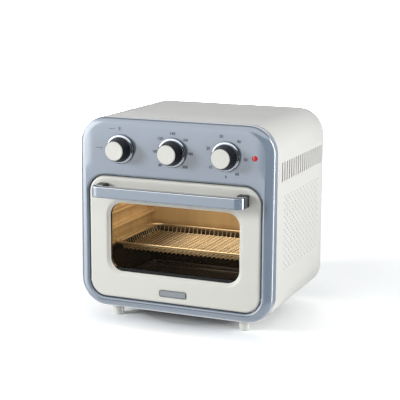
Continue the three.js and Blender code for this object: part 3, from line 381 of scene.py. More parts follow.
def bent_strip(name, line, bend, thickness, front, back, side=1):
    """A sheet bent along a line in X and Z, drawn from front to back.

    It lies to the line's left. Side -1 mirrors it.
    """
    points, normals = rounded_line(line, bend)
    section = np.concatenate([points, (points + normals * thickness)[::-1]])
    count = len(section)
    rings = [np.stack([section[:, 0] * side, np.full(count, y), section[:, 1]], 1) for y in (front, back)]
    ends = [np.arange(count)[None, ::-1], np.arange(count)[None] + count]
    return put_in(name, np.concatenate(rings), [grid_faces(2, count, False), *ends])


# Outlines
body = Outline(bezel_high.x, bezel_low.z, bezel_high.z, CORNER_RADIUS)
opening = Outline(body.half - OPENING_SIDE, body.low + OPENING_SILL, body.high - CONTROL_BAND, OPENING_RADIUS)
door = opening.inset(DOOR_GAP)
window = Outline(door.half - WINDOW_SIDE, door.low + WINDOW_SILL, door.high - WINDOW_HEAD, WINDOW_RADIUS)


# Pieces


def edge_round(radius, steps=10, spread=1.0):
    """A quarter round between a side and a face: pairs of how far in and how deep. The spread makes it wider."""
    turn = np.linspace(0, math.pi / 2, steps + 1)
    return list(zip(spread * radius * (1 - np.cos(turn)), radius * (1 - np.sin(turn))))


def middle_of(node):
    """The middle of a CAD node's box."""
    low, high = np.array(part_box(node))
    return (low + high) / 2


def face_centre(node):
    """The middle of a CAD node's box, moved to the plane of the bezel's face."""
    middle = middle_of(node)
    return np.array([middle[0], FRONT, middle[2]])


def make_bezel():
    """A hollow moulding: one loop of rings through the bullnose, the face, the opening's fillet and the inner walls."""
    depth, bullnose, wall, groove, fillet, reach, arris = 0.021, 0.012, 0.0025, 0.0015, 0.003, 0.018, 0.0003
    spread, face_rings = 1.07, 12
    outer = [(groove, depth), (groove, depth - groove + arris), (arris, depth - groove), (0, depth - groove - arris)]
    outer += edge_round(bullnose, 18, spread)
    inner = [(-by, d) for by, d in edge_round(fillet, 8)[::-1]] + [(0, reach), (-wall, reach), (-wall, wall)]
    inside = [(wall + by, wall + d) for by, d in edge_round(bullnose - wall, 6)[::-1]] + [(wall, depth)]
    rings = stacked(body, held(outer))
    face = [ring(body.inset(spread * bullnose + HOLD / 3), 0), ring(opening.inset(-fillet - HOLD), 0)]
    rings += [face[0] + (face[1] - face[0]) * share for share in np.linspace(0, 1, face_rings)]
    rings += stacked(opening, held(inner))
    rings += stacked(body, held(inside))
    return skin("bezel_moulding", crowned(np.array(rings), bullnose), looped=True)


def crowned(rings, depth):
    """The panel's face falls back towards its sides: by the square of the way out, fading in above the opening."""
    fall, width, start, rise = 0.0026, 0.03, 0.004, 0.02
    across = np.clip((np.abs(rings[..., 0]) - body.half + width) / width, 0, 1)
    above = np.clip((rings[..., 2] - opening.high - start) / rise, 0, 1)
    share = np.clip(1 - (rings[..., 1] - FRONT) / depth, 0, 1)
    rings[..., 1] += fall * across**2 * above**2 * (3 - 2 * above) * share
    return rings


def make_wrap():
    """One sheet, unrolled round the body's outline. Its front edge is rolled over and a groove runs near the back."""
    thickness, lip, roll, behind_front = 0.0012, 0.068, 0.001, 0.0213
    front, back = FRONT + behind_front, BODY_BACK
    groove_place, groove_width, groove_depth = 0.006, 0.0016, 0.0004
    slots, slot_start, slot_pitch, slot_low, slot_high, slot_width = 19, 0.041, 0.0106, 0.213, 0.243, 0.004
    rows, columns, row_start, row_pitch = 23, 12, 0.0776, 0.00507
    column_start, column_pitch, hole_radius, hole_sides = 0.0535, 0.01476, 0.0013, 10
    section = body.points()
    start = np.array([[body.half - lip, body.low]])
    section = np.concatenate([start, section[-1:], section[:-1], start * (-1, 1)])
    run = runs(section)
    near = (body.radius - body.half, body.low + body.radius)
    far = (body.half - body.radius, body.high - body.radius)
    normal = section - np.clip(section, near, far)
    normal /= np.linalg.norm(normal, axis=1)[:, None]

    def sink(y):
        """How far the outer face lies below the outline at each depth."""
        edge = np.maximum(roll - np.minimum(y - front, back - y), 0)
        rolled = roll - np.sqrt(roll**2 - edge**2)
        across = np.clip(np.abs(y - (back - groove_place)) / (groove_width / 2), 0, 1)
        return rolled + groove_depth * (1 + np.cos(across * math.pi)) / 2

    def lay(points, offset):
        """The outline's point at a run, less the normal there times how far the face is sunk."""
        u, y = points[:, 0], points[:, 1]
        x = np.interp(u, run, section[:, 0])
        z = np.interp(u, run, section[:, 1])
        n = np.stack([np.interp(u, run, normal[:, 0]), np.interp(u, run, normal[:, 1])], 1)
        n /= np.linalg.norm(n, axis=1)[:, None]
        into = sink(y) if offset == 0 else thickness
        return np.stack([x - n[:, 0] * into, y, z - n[:, 1] * into], 1)

    def on_side(loop, side):
        """A loop of depths and heights on a side, as runs and depths: the run grows with the height on the right."""
        right = np.argmax(section[:, 0] > body.half - 1e-9)
        at = run[right] + (loop[:, 1] - section[right, 1])
        return np.stack([at if side > 0 else run[-1] - at, loop[:, 0]], 1)

    holes = []
    for side in (-1, 1):
        for i in range(slots):
            y = FRONT + slot_start + slot_pitch * i
            holes.append(on_side(slot(y, body.low + slot_low, body.low + slot_high, slot_width), side))
        for row in range(rows):
            for column in range(columns - row % 2):
                y = FRONT + column_start + column_pitch * (column + row % 2 / 2)
                holes.append(on_side(circle(y, body.low + row_start + row_pitch * row, hole_radius, hole_sides), side))
    outline = np.array([(0, front), (run[-1], front), (run[-1], back), (0, back)])
    curl = roll * (1 - np.cos(np.linspace(0, math.pi / 2, 5)[1:]))
    groove = back - groove_place + groove_width / 2 * np.linspace(-1, 1, 7)
    depths = np.concatenate([front + curl, [front + roll + HOLD], back - curl, [back - roll - HOLD], groove])
    lines = [np.array([(u, front), (u, back)]) for u in run[1:-1]]
    lines += [np.array([(0, y), (run[-1], y)]) for y in depths]
    return sheet("body_wrap", outline, holes, thickness, lay, lines)


def make_door_frame():
    """A moulded shell: rounded edge, flat face and a soft slope down to the window, with the glass seat behind."""
    face, back, wall, edge = 0.0005, 0.0145, 0.0025, 0.004
    slope_width, slope_depth, lip, seat = 0.006, 0.0036, 0.0016, 0.009
    shell = face + 0.003
    outer = [(0, back)] + [(by, face + d) for by, d in edge_round(edge)] + [(edge + HOLD, face)]
    share = np.linspace(0, 1, 13)
    slope = [(-slope_width * (1 - s), face + slope_depth * (1 - math.cos(math.pi * s)) / 2) for s in share]
    slope = [(-slope_width - HOLD, face)] + slope
    deep = face + slope_depth + lip
    inner = slope + [(0, deep), (-seat, deep), (-seat, shell)]
    behind = [(2 * wall, shell), (wall, shell + wall), (wall, back)]
    rings = stacked(door, held(outer))
    rings += stacked(window, held(inner))
    rings += stacked(door, held(behind))
    return skin("door_moulding", rings, looped=True)


def make_door_glass():
    """A pane with arrised edges, held behind the window: it reaches past the window's edge all round."""
    low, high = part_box("door_glass")
    covered, arris = 0.008, 0.0005
    return plate("window_pane", window.inset(-covered), low.y - FRONT, high.y - FRONT, arris, 3)


def make_door_liner():
    """A sheet behind the door, pressed forward round the window to hold the pane."""
    back, thickness, clamp = 0.0145, 0.001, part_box("door_glass")[1].y - FRONT + SEAT_GAP
    clearance, flat, pressed = 0.0029, -0.015, -0.010
    rim = door.inset(clearance)
    front_side = [(flat, back - thickness), (pressed, clamp), (0, clamp)]
    back_side = [(0, clamp + thickness), (pressed, clamp + thickness), (flat, back)]
    rings = [ring(rim, back), ring(rim, back - thickness)]
    rings += stacked(window, held(front_side))
    rings += stacked(window, held(back_side))
    return skin("door_lining", rings, looped=True)


def make_badge():
    """A bare plate under the window: a raised rim round a field that lies a little lower."""
    low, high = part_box("badge_plate")
    outline = Outline(high.x, low.z, high.z, 0.003)
    front, back, rim, field, arris = low.y - FRONT, high.y - FRONT, 0.0013, 0.00035, 0.0003
    profile = [(2 * arris, back), (0, back - 0.0001), (0, front + arris), (arris, front), (rim, front)]
    profile += [(rim + 0.0002, front + field), (rim + 0.0006, front + field)]
    return skin("bare_plate", stacked(outline, profile))


def handle_plan(depth, turn, steps):
    """The front of the handle seen from above, at a depth behind its face: half of it, from the middle to a turn."""
    low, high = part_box("handle_bar")
    centre = (high.x - HANDLE_ROUND, low.y + HANDLE_ROUND)
    bend = arc(centre, HANDLE_ROUND - depth, -0.25, turn / (2 * math.pi) - 0.25, steps)
    return np.concatenate([[(0, low.y + depth), (centre[0] - HOLD, low.y + depth)], bend])


def make_handle():
    """A bar between matched outer and inner lines: each ring is a rounded rectangle from one line to the other."""
    low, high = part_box("handle_bar")
    half, leg, depth = high.x, 0.014, 0.0136
    inner_round, edge, strip_inset = 0.005, 0.0012, 0.0016
    strip_depth, no_depth, past_join = 0.0021, 0.00002, 1e-5
    middle = (low.z + high.z) / 2
    tall = (high.z - low.z) / 2
    steps, rest = 16, 8
    end_turn = INLAY_TURN + SEAT_GAP / HANDLE_ROUND
    join = (end_turn / (math.pi / 2) - 1) / 4
    foot = np.array([(0, high.y - HOLD), (0, high.y)])
    first = handle_plan(0, end_turn, steps)
    second = arc((half - HANDLE_ROUND, low.y + HANDLE_ROUND), HANDLE_ROUND, join + past_join, 0, rest)
    outer = np.concatenate([first, second, foot + (half, 0)])
    corner = (half - leg - inner_round, low.y + depth + inner_round)
    start = [(0, low.y + depth), (corner[0] - HOLD, low.y + depth)]
    bends = [arc(corner, inner_round, -0.25, join, steps), arc(corner, inner_round, join + past_join, 0, rest)]
    inner = np.concatenate([start, *bends, foot + (half - leg, 0)])
    notched = mirrored(np.arange(len(outer)) < len(first), 1)
    outer, inner = mirrored(outer), mirrored(inner)
    recess = np.where(notched, strip_depth, no_depth)
    strip = tall - strip_inset + SEAT_GAP
    turn = np.linspace(0, math.pi / 2, 5)
    section = []
    for u, v, q in ((1, 1, 0), (-1, 1, 1), (-1, -1, 2), (1, -1, 3)):
        a = turn + q * math.pi / 2
        section.append(np.stack([np.full(5, u * 1.0), edge * (np.cos(a) - u), v * tall + edge * (np.sin(a) - v)], 1))
    notch = np.array([(1, 0, -strip), (1, -1, -strip), (1, -1, strip), (1, 0, strip)], float)
    flat = np.concatenate([*section, notch])
    centre = (outer + inner) / 2
    reach = outer - inner
    width = np.linalg.norm(reach, axis=1)
    toward = reach / width[:, None]
    shift = np.where(flat[None, :, 1] <= -0.5, -recess[:, None], flat[None, :, 1])
    away = flat[None, :, 0] * width[:, None] / 2 + shift
    ground = centre[:, None] + away[..., None] * toward[:, None]
    rings = np.concatenate([ground, np.broadcast_to(middle + flat[None, :, 2:], (*away.shape, 1))], 2)
    return skin("handle_bar_plated", rings)


def make_handle_inlay():
    """A strap let into the bar's front and round both its corners: one rounded section carried along its plan."""
    low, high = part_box("handle_inlay")
    proud, deep, edge, steps = -0.0004, 0.0018, 0.0005, 16
    tall = (high.z - low.z) / 2 - edge
    inner, outer = (mirrored(handle_plan(depth, INLAY_TURN, steps)) for depth in (deep, proud))
    turn = np.linspace(0, math.pi / 2, 5)
    lower = np.stack([deep - proud - edge + edge * np.sin(turn), -tall - edge * np.cos(turn)], 1)
    front = held(np.concatenate([lower, lower[::-1] * (1, -1)]))
    section = np.concatenate([[(0, -tall - edge)], front, [(0, tall + edge)]])
    toward = (outer - inner) / (deep - proud)
    ground = inner[:, None] + section[None, :, :1] * toward[:, None]
    height = np.broadcast_to((low.z + high.z) / 2 + section[None, :, 1:], (*ground.shape[:2], 1))
    return skin("handle_inlay_strap", np.concatenate([ground, height], 2))


def make_spacer(side):
    """A block between the bar's end and the door, with soft edges."""
    low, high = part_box(f"handle_spacer_{side}")
    corner, edge = 0.0025, 0.0008
    outline = Outline((high.x - low.x) / 2, low.z, high.z, corner)
    outline.ease = SMALL_EASE
    piece = plate(f"handle_spacer_block_{side}", outline, low.y - FRONT, high.y - FRONT, edge, 4)
    piece.data.transform(Matrix.Translation(((low.x + high.x) / 2, 0, 0)))
    return piece


def knob_centre(knob):
    """A point on a knob's axis in the plane of the bezel's face."""
    return face_centre(f"{knob}_knob_skirt")


def make_knob(knob):
    """A plated skirt, a tapered grip and a cap, each a profile turned about the shaft."""
    centre = knob_centre(knob)
    outward = (0, -1, 0)
    back, front, skirt, bore, arris = 0.0008, 0.0058, 0.0228, 0.0176, 0.0003
    bulge, bulge_depth, shaft = 0.003, 0.0042, 0.004
    turn = np.linspace(0, math.pi / 2, 15)
    dome = np.stack([skirt - bulge * (1 - np.cos(turn)), front - bulge_depth * (1 - np.sin(turn))], 1)
    skirt_line = [(bore, back), (skirt - arris, back), (skirt, back + arris), *dome, (bore, front)]
    skirt_line = held(skirt_line + skirt_line[:1])[:-1]
    skirt_piece = turned(f"{knob}_skirt_ring", skirt_line, centre, outward, looped=True)
    base, base_radius, base_edge, tip, tip_radius, tip_edge = front + SEAT_GAP, 0.0196, 0.0007, 0.023, 0.0155, 0.0008
    cap_radius, cap_back, cap_top, cap_edge, cap_seat = 0.0144, 0.022, 0.0242, 0.0006, 0.0147
    bead = arc((base_radius - base_edge, base + base_edge), base_edge, -0.25, 0.02, 6)
    shoulder = arc((tip_radius - tip_edge, tip - tip_edge), tip_edge, 0.01, 0.25, 6)
    seat = cap_back - SEAT_GAP
    grip_line = [(shaft, back + 0.0002), (bore - SEAT_GAP, back + 0.0002), (bore - SEAT_GAP, base), *bead, *shoulder]
    grip_line = held(grip_line + [(cap_seat, tip), (cap_seat, seat), (shaft, seat)])
    grip_piece = turned(f"{knob}_grip_body", grip_line, centre, outward, steps=240, flutes=30, sunk=0.035)
    crown = arc((cap_radius - cap_edge, cap_top - cap_edge), cap_edge, 0, 0.25, 6)
    cap_line = [(shaft, cap_back), (cap_radius, cap_back), *crown, (0.0135, cap_top), (shaft, cap_top)]
    cap_piece = turned(f"{knob}_cap_disc", held(cap_line), centre, outward)
    return skirt_piece, grip_piece, cap_piece


def make_pilot():
    """A domed lens on a stem: a profile turned about its axis."""
    stem, rim, rise, back = 0.0026, 0.0034, 0.0011, -0.026
    turns = np.linspace(0, math.pi / 2 - 0.05, 10)
    dome = [(rim * math.cos(t), SEAT_GAP + rise * math.sin(t)) for t in turns]
    profile = [(stem, back), (stem, SEAT_GAP), *dome]
    return turned("pilot_dome", profile, face_centre("pilot_lens"), (0, -1, 0), steps=48)


def make_pilot_ring():
    """A thin collar round the lens: a half round turned about the lens's axis."""
    middle, thick = 0.0038, 0.0005
    half_round = [(middle + thick * math.cos(t), thick * math.sin(t)) for t in np.linspace(0, math.pi, 9)]
    profile = [(0.0033, -thick), (0.0043, -thick), *half_round]
    return turned("pilot_collar", profile, face_centre("pilot_lens"), (0, -1, 0), looped=True, steps=48)


def make_foot(name):
    """A slightly tapered foot with a rounded sole edge: a profile turned about its axis."""
    low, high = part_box(name)
    bore, sole_edge, top = 0.004, 0.0012, 0.009
    sole = arc((0.007, sole_edge), sole_edge, -0.25, 0, 6)
    tall = high.z - low.z
    profile = held([(bore, 0), *sole, (top, tall), (bore, tall)])
    return turned(f"{name}_turned", profile, (*middle_of(name)[:2], low.z), (0, 0, 1), steps=64)


def make_rear_panel():
    """A flat panel with an air grille of upright slots and the cord inlet."""
    low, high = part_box("rear_panel")
    rows, columns, across, down, width = 2, 9, 0.02, 0.03, 0.004
    inlet_in, inlet_up, inlet_radius, margin = 0.042, 0.03, 0.0065, 0.0016
    slot_low, slot_high = body.high - 0.056, body.high - 0.034
    holes = [
        slot(across * (column - columns // 2), slot_low - down * row, slot_high - down * row, width)
        for row in range(rows)
        for column in range(columns)
    ]
    holes.append(circle(body.half - inlet_in, body.low + inlet_up, inlet_radius))
    outline = body.inset(margin)
    return sheet("rear_panel_grille", outline.points(), holes, high.y - low.y, laid(1, high.y, -1))


def level_ring(outline, height, steps=10):
    """An outline's points in X and Y, at a height."""
    flat = outline.points(steps)
    return np.stack([flat[:, 0], flat[:, 1], np.full(len(flat), height)], 1)


def rim_wire(name, outline, height, radius, sides=12):
    """A wire bent round an outline: centre + radius (cos t across + sin t upwards).

    Across is the outline's normal.
    """
    line = level_ring(outline, height)
    along = np.roll(line, -1, axis=0) - np.roll(line, 1, axis=0)
    across = np.stack([along[:, 1], -along[:, 0], np.zeros(len(line))], 1)
    across /= np.linalg.norm(across, axis=1)[:, None]
    turn = (np.arange(sides) * 2 * math.pi / sides)[:, None, None]
    rings = line + radius * (np.cos(turn) * across + np.sin(turn) * np.array([0, 0, 1.0]))
    return skin(name, rings.swapaxes(0, 1), looped=True)


def make_basket():
    """A flange that rests on the runners, a round rim wire, and a net of bent wires hung from it."""
    low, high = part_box("fry_basket")
    flange, rim, wire, pitch, taper = 0.0008, 0.0014, 0.00055, 0.0076, 0.004
    side_ledge, end_ledge, foot_round = 0.0095, 0.0035, 0.0014
    outer = Outline(high.x, low.y, high.y, 0.018)
    inner = Outline(high.x - side_ledge, low.y + end_ledge, high.y - end_ledge, 0.015)
    outer.ease = inner.ease = SMALL_EASE
    lay = laid(2, high.z - 2 * rim, -1)
    pieces = [sheet("basket_flange", outer.points(8), [inner.points(8)], flange, lay)]
    pieces.append(rim_wire("basket_rim_wire", inner.inset(-0.0004), high.z - rim, rim))
    pieces.append(rim_wire("basket_edge_wire", outer.inset(rim), high.z - rim, rim))
    lengthways = ("lengthways", inner.half, inner.low, inner.high, wire)
    crossways = ("crossways", (inner.high - inner.low) / 2, -inner.half, inner.half, 3 * wire)
    for name, reach, start, end, lift in (lengthways, crossways):
        floor = low.z + lift
        line = [(start - 0.0004, high.z - rim), (start + 0.0005, high.z - rim - wire), (start + taper, floor)]
        line += [(start + end - u, z) for u, z in line[::-1]]
        flat = rounded_line(line, foot_round, 4)[0]
        count = int(2 * (reach - taper) / pitch)
        offsets = (np.arange(count) - (count - 1) / 2) * pitch
        beyond = np.maximum(np.abs(offsets) - (reach - inner.radius), 0)
        bend = inner.radius - np.sqrt(inner.radius**2 - beyond**2)
        middle = (start + end) / 2
        along = flat[None, :, 0] - np.sign(flat[None, :, 0] - middle) * bend[:, None]
        steady = np.broadcast_to(offsets[:, None], along.shape)
        height = np.broadcast_to(flat[None, :, 1], along.shape)
        if name == "lengthways":
            paths = np.stack([steady, along, height], 2)
        else:
            paths = np.stack([along, steady + (inner.low + inner.high) / 2, height], 2)
        pieces.append(wires(f"basket_wires_{name}", paths, wire, 6))
    return pieces


def make_cavity_wall(side):
    """A pressed sheet: flanges above and below and three runners, each a shelf with sloped sides and rounded bends."""
    low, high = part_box("cavity_right_wall")
    flange, reach, tall, ledge, thickness, bend = 0.007, 0.008, 0.008, 0.004, 0.001, 0.0012
    wall = high.x - flange
    line = [(high.x, high.z), (wall, high.z)]
    for rise in RUNNER_RISES:
        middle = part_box("cavity_floor")[1].z + rise
        line += [(wall, middle + tall / 2), (wall - reach, middle + ledge / 2)]
        line += [(wall - reach, middle - ledge / 2), (wall, middle - tall / 2)]
    line += [(wall, low.z), (high.x, low.z)]
    return bent_strip(f"cavity_wall_{side}", line, bend, thickness, low.y, high.y, -1 if side == "left" else 1)


def make_cavity_roof():
    """A sheet with the fan's round mouth and the holes for the coil's leads."""
    low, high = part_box("cavity_roof")
    mouth, lead_hole = 0.06, 0.004
    flat = np.array([(low.x, low.y), (high.x, low.y), (high.x, high.y), (low.x, high.y)])
    fan = fan_axis()
    leads = [fan + LEAD_REACH * spoke(turn) for turn in 2 * math.pi * np.array(LEAD_TURNS)]
    holes = [circle(*fan, mouth, 96)] + [circle(*lead, lead_hole) for lead in leads]
    return sheet("cavity_ceiling", flat, holes, high.z - low.z, laid(2, low.z, 1))


def fan_axis():
    """The fan's axis, seen from above."""
    return middle_of("coil_guard")[:2]


def make_coil():
    """A steel tube: two flat turns whose radius falls evenly, an inner end that crosses over them, and two leads.

    Its points are given by radius, share of a turn and height.
    """
    low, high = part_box("heating_coil")
    radius, top, lead, first, last = 0.0032, high.z, LEAD_REACH, LEAD_TURNS[0], 2 + LEAD_TURNS[1]
    plane, crossing = low.z + radius, low.z + 3 * radius + 0.0014
    outer, fall, spiral_start, turns, steps = 0.056, 0.022, 0.35, 1.82, 81
    share = np.linspace(0, 1, steps)
    spiral = np.stack([outer - fall * share, spiral_start + turns * share, np.full(steps, plane)], 1)
    start = [(lead, first, top), (lead, first, plane + 0.012)]
    start += [(lead - 0.001, first + 0.003, plane + 0.005), (0.068, 0.29, plane + 0.0005)]
    end = [(0.0345, 2.2, plane + 0.003), (0.0385, last, crossing), (outer, last, crossing), (0.068, last, crossing)]
    end += [(lead - 0.001, last, crossing + 0.004), (lead, last, crossing + 0.009), (lead, last, top)]
    stops = np.concatenate([start, spiral, end])
    flat = fan_axis() + stops[:, :1] * spoke(2 * math.pi * stops[:, 1])
    return wires("coil_tube", eased(np.column_stack([flat, stops[:, 2]]), 6)[None], radius, 16)


def eased(points, steps):
    """A smooth line through points: cubic pieces whose slope at a point is that of the chord past it."""
    run = runs(points)
    slope = np.gradient(points, run, axis=0)
    t = np.linspace(0, 1, steps, endpoint=False)[None, :, None]
    length = np.diff(run)[:, None, None]
    a, b, m, n = points[:-1, None], points[1:, None], slope[:-1, None] * length, slope[1:, None] * length
    made = (2 * t**3 - 3 * t**2 + 1) * a + (t**3 - 2 * t**2 + t) * m + (3 * t**2 - 2 * t**3) * b + (t**3 - t**2) * n
    return np.concatenate([made.reshape(-1, 3), points[-1:]])


def make_guard():
    """A pressed cup: a flat disc's distance from its middle is carried along the cup's floor, bend, wall and lip."""
    low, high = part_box("coil_guard")
    radius, flange, thickness, bend, lip_round, lip_start = 0.083, 0.0037, 0.001, 0.004, 0.0012, 0.0022
    bridge, half_width, sides = 0.0045, 0.0055, 64
    turn = np.linspace(0, math.pi / 2, 7)
    floor = np.stack([radius - bend + bend * np.sin(turn), low.z + bend * (1 - np.cos(turn))], 1)
    lip = np.stack([radius + lip_round * (1 - np.cos(turn)), high.z - lip_start + lip_round * np.sin(turn)], 1)
    profile = np.concatenate([[(0, low.z)], floor, lip, [(radius + flange - thickness, high.z - thickness)]])
    normal = unit_normals(profile)
    run = runs(profile)
    axis = fan_axis()

    def lay(points, offset):
        """Each point's way from the middle, and the profile's radius and height where its distance falls."""
        far = np.linalg.norm(points, axis=1)
        way = points / np.maximum(far, 1e-9)[:, None]
        across = np.interp(far, run, profile[:, 0]) + offset * np.interp(far, run, normal[:, 0])
        up = np.interp(far, run, profile[:, 1]) + offset * np.interp(far, run, normal[:, 1])
        return np.concatenate([axis + way * across[:, None], up[:, None]], 1)

    slots = []
    for middle, count in ((0.022, 4), (0.040, 7), (0.058, 10)):
        half = math.pi / count - bridge / 2 / middle - half_width / middle
        slots += [curved_slot(middle, half_width, 2 * math.pi * i / count, half) for i in range(count)]
    lines = [circle(0, 0, u, sides)[np.r_[0:sides, 0]] for u in run[1:-1]]
    return sheet("guard_cup", circle(0, 0, run[-1], sides), slots, thickness, lay, lines)


def make_tray():
    """A pressed pan: rings from the floor's middle up its bend and side and over a rolled rim, and back inside."""
    low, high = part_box("crumb_tray")
    thickness, bend, slope, rim, corner, least = 0.001, 0.0025, 0.0015, 0.003, 0.009, 0.002
    foot, top = rim + slope, high.z
    turn = np.linspace(0, math.pi / 2, 6)
    outside = [(foot + bend * (1 - math.sin(t)), low.z + bend * (1 - math.cos(t))) for t in turn]
    edge = [(rim, top - 0.0012), (0.0005, top - 0.0012), (0, top - 0.0008), (0, top - 0.0004), (0.0004, top)]
    inside = [(rim + 0.0012, top), (rim + 0.0022, top - 0.0014)]
    inside += [(by + thickness, z + thickness) for by, z in outside[::-1]]
    rings = []
    for by, z in held(outside + edge + inside):
        rings.append(level_ring(Outline(high.x - by, low.y + by, high.y - by, max(corner - by, least)), z))
    return skin("tray_pan", rings)


def make_bushing():
    """A shouldered sleeve with a rounded collar: a profile turned about the cord hole."""
    low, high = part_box("cord_bushing")
    bore, sleeve, collar, lip_edge = 0.0038, 0.0062, 0.009, 0.0012
    middle = middle_of("cord_bushing")
    start, end = low.y, high.y
    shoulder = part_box("rear_panel")[1].y + SEAT_GAP
    lip = arc((collar - lip_edge, end - lip_edge), lip_edge, 0, 0.25, 5)
    profile = [(bore, start), (sleeve, start), (sleeve, shoulder), (collar, shoulder), *lip]
    profile += [(bore + 0.001, end), (bore, end - 0.001)]
    return turned("bushing_sleeve", profile, (middle[0], 0, middle[2]), (0, 1, 0), looped=True, steps=64)


def make_screws():
    """Pan heads on the rear panel: a dome of radius and turn, sunk along two crossed lines for the driver."""
    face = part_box("rear_panel")[1].y
    radius, rise, brim, sides = 0.0032, 0.0011, 0.0005, 48
    cross_width, cross_reach, inset, corner_inset = 0.0004, 0.002, 0.016, 0.004
    share = np.array([0.02, 0.15, 0.3, 0.45, 0.6, 0.75, 0.9, 1.0])[:, None]
    turn = (np.arange(sides) * 2 * math.pi / sides)[None]
    x, z = radius * share * np.cos(turn), radius * share * np.sin(turn)
    dome = brim + rise * np.sqrt(np.maximum(1 - (share * 0.98) ** 2, 0)) + 0 * turn
    cross = (np.minimum(np.abs(x), np.abs(z)) < cross_width) & (share * radius < cross_reach)
    dome = np.where(cross, brim, dome)
    wide, tall = body.half - inset, (body.high - body.low) / 2 - inset
    middle = (body.high + body.low) / 2
    made = []
    for i, (across, up) in enumerate(((1, 1), (-1, 1), (1, -1), (-1, -1), (0, 1), (0, -1), (1, 0), (-1, 0))):
        cx = across * (wide - corner_inset * abs(up) * abs(across))
        cz = middle + up * (tall - corner_inset * abs(up) * abs(across))
        rings = np.stack([x + cx, face + dome, z + cz], 2)
        base = np.stack([x[-1] + cx, np.full(sides, face - 0.0002), z[-1] + cz], 1)
        made.append(skin(f"rear_screw_{i}", np.concatenate([rings, base[None]])))
    return made


# Marks round the knobs: what each one is, its turn from the top in degrees, and how far out it lies
MARK_DEPTH = 0.00006
NUMBER_SIZE, NUMBER_WEIGHT = 0.0062, 0.00012
MODES = (("dashes", -90, 0.0385), ("ring", -90, 0.0325), ("dashes", -26, 0.034), ("square", -3, 0.031))
TEMPERATURES = (("80", -135), ("100", -90), ("120", -45), ("140", 0), ("160", 45), ("180", 90), ("200", 135))
MINUTES = (("0", 180), ("10", -125), ("20", -70), ("30", -15), ("40", 40), ("50", 95), ("60", 145))
MARKS = {
    "mode": MODES,
    "temperature": [(*mark, 0.0287) for mark in TEMPERATURES],
    "timer": [(*mark, 0.0305) for mark in MINUTES],
}


def flat_mark(name, loops, x, z):
    """Thin prints on the panel's face, each loop a filled shape."""
    made = []
    for loop in loops:
        rings = [np.insert(loop + (x, z), 1, FRONT - depth, axis=1) for depth in (0, MARK_DEPTH)]
        made.append(skin(name, rings))
    return made


def make_number(text, x, z):
    """A number printed on the panel: text of NUMBER_SIZE made a thin mesh, centred on a point."""
    name = f"number_{text}"
    data = bpy.data.curves.new(name, "FONT")
    data.body = text
    data.size = NUMBER_SIZE
    data.offset = NUMBER_WEIGHT
    data.align_x, data.align_y = "CENTER", "CENTER"
    data.extrude = MARK_DEPTH / 2
    data.resolution_u = 3
    holder = linked(name, data)
    bpy.context.view_layer.update()
    mesh = bpy.data.meshes.new_from_object(holder)
    bpy.data.objects.remove(holder)
    turn = Matrix.Rotation(math.pi / 2, 4, "X")
    mesh.transform(Matrix.Translation((x, FRONT - MARK_DEPTH / 2, z)) @ turn)
    return linked(name, mesh)


def box_loop(half, low, high):
    """A rectangle's corners."""
    return np.array([(-half, low), (half, low), (half, high), (-half, high)])


# The pictograms, as loops round their own middle: three dashes, a square of bars, and three dots on a ring
PICTOGRAMS = {
    "dashes": [box_loop(0.0012, -0.0004, 0.0004) + (dx, 0) for dx in (-0.0032, 0, 0.0032)],
    "square": [
        *(box_loop(0.0022, low, low + 0.0006) for low in (-0.0022, -0.0003, 0.0016)),
        *(box_loop(0.0003, *rise) for rise in ((0.0005, 0.0014), (-0.0014, -0.0005))),
    ],
    "ring": [circle(0.0016 * math.cos(t), 0.0016 * math.sin(t), 0.0007, 12) for t in (0.5, 2.6, 4.7)],
}


def make_marks():
    """Flat prints round each knob: pictograms for the mode, numbers for the temperature and the minutes."""
    made = []
    for knob, marks in MARKS.items():
        centre = knob_centre(knob)
        for label, degrees, reach in marks:
            way = math.radians(degrees)
            x, z = centre[0] + reach * math.sin(way), centre[2] + reach * math.cos(way)
            if label in PICTOGRAMS:
                made += flat_mark(f"mark_{label}", PICTOGRAMS[label], x, z)
            else:
                made.append(make_number(label, x, z))
    return made


# Materials


def srgb(red, green, blue):
    """A screen colour, each part 0 to 255, as linear light."""
    shares = [part / 255 for part in (red, green, blue)]
    return tuple(s / 12.92 if s <= 0.04045 else ((s + 0.055) / 1.055) ** 2.4 for s in shares) + (1.0,)


def darker(colour, share):
    """A colour less a share of its light."""
    return tuple(part * (1 - share) for part in colour[:3]) + (1.0,)


class Wire:
    """A node's output that takes part in sums: an expression adds its Math nodes."""

    def __init__(self, tree, socket):
        self.tree = tree
        self.socket = socket

    def out(self, output):
        """Another output of the same node."""
        return Wire(self.tree, self.socket.node.outputs[output])

    def _math(self, operation, first, second):
        return self.tree.node("Math", {"operation": operation}, {0: first, 1: second})

    def __add__(self, other):
        return self._math("ADD", self, other)

    def __sub__(self, other):
        return self._math("SUBTRACT", self, other)

    def __rsub__(self, other):
        return self._math("SUBTRACT", other, self)

    def __mul__(self, other):
        return self._math("MULTIPLY", self, other)

    def __abs__(self):
        return self.tree.node("Math", {"operation": "ABSOLUTE"}, {0: self})

    __radd__ = __add__
    __rmul__ = __mul__


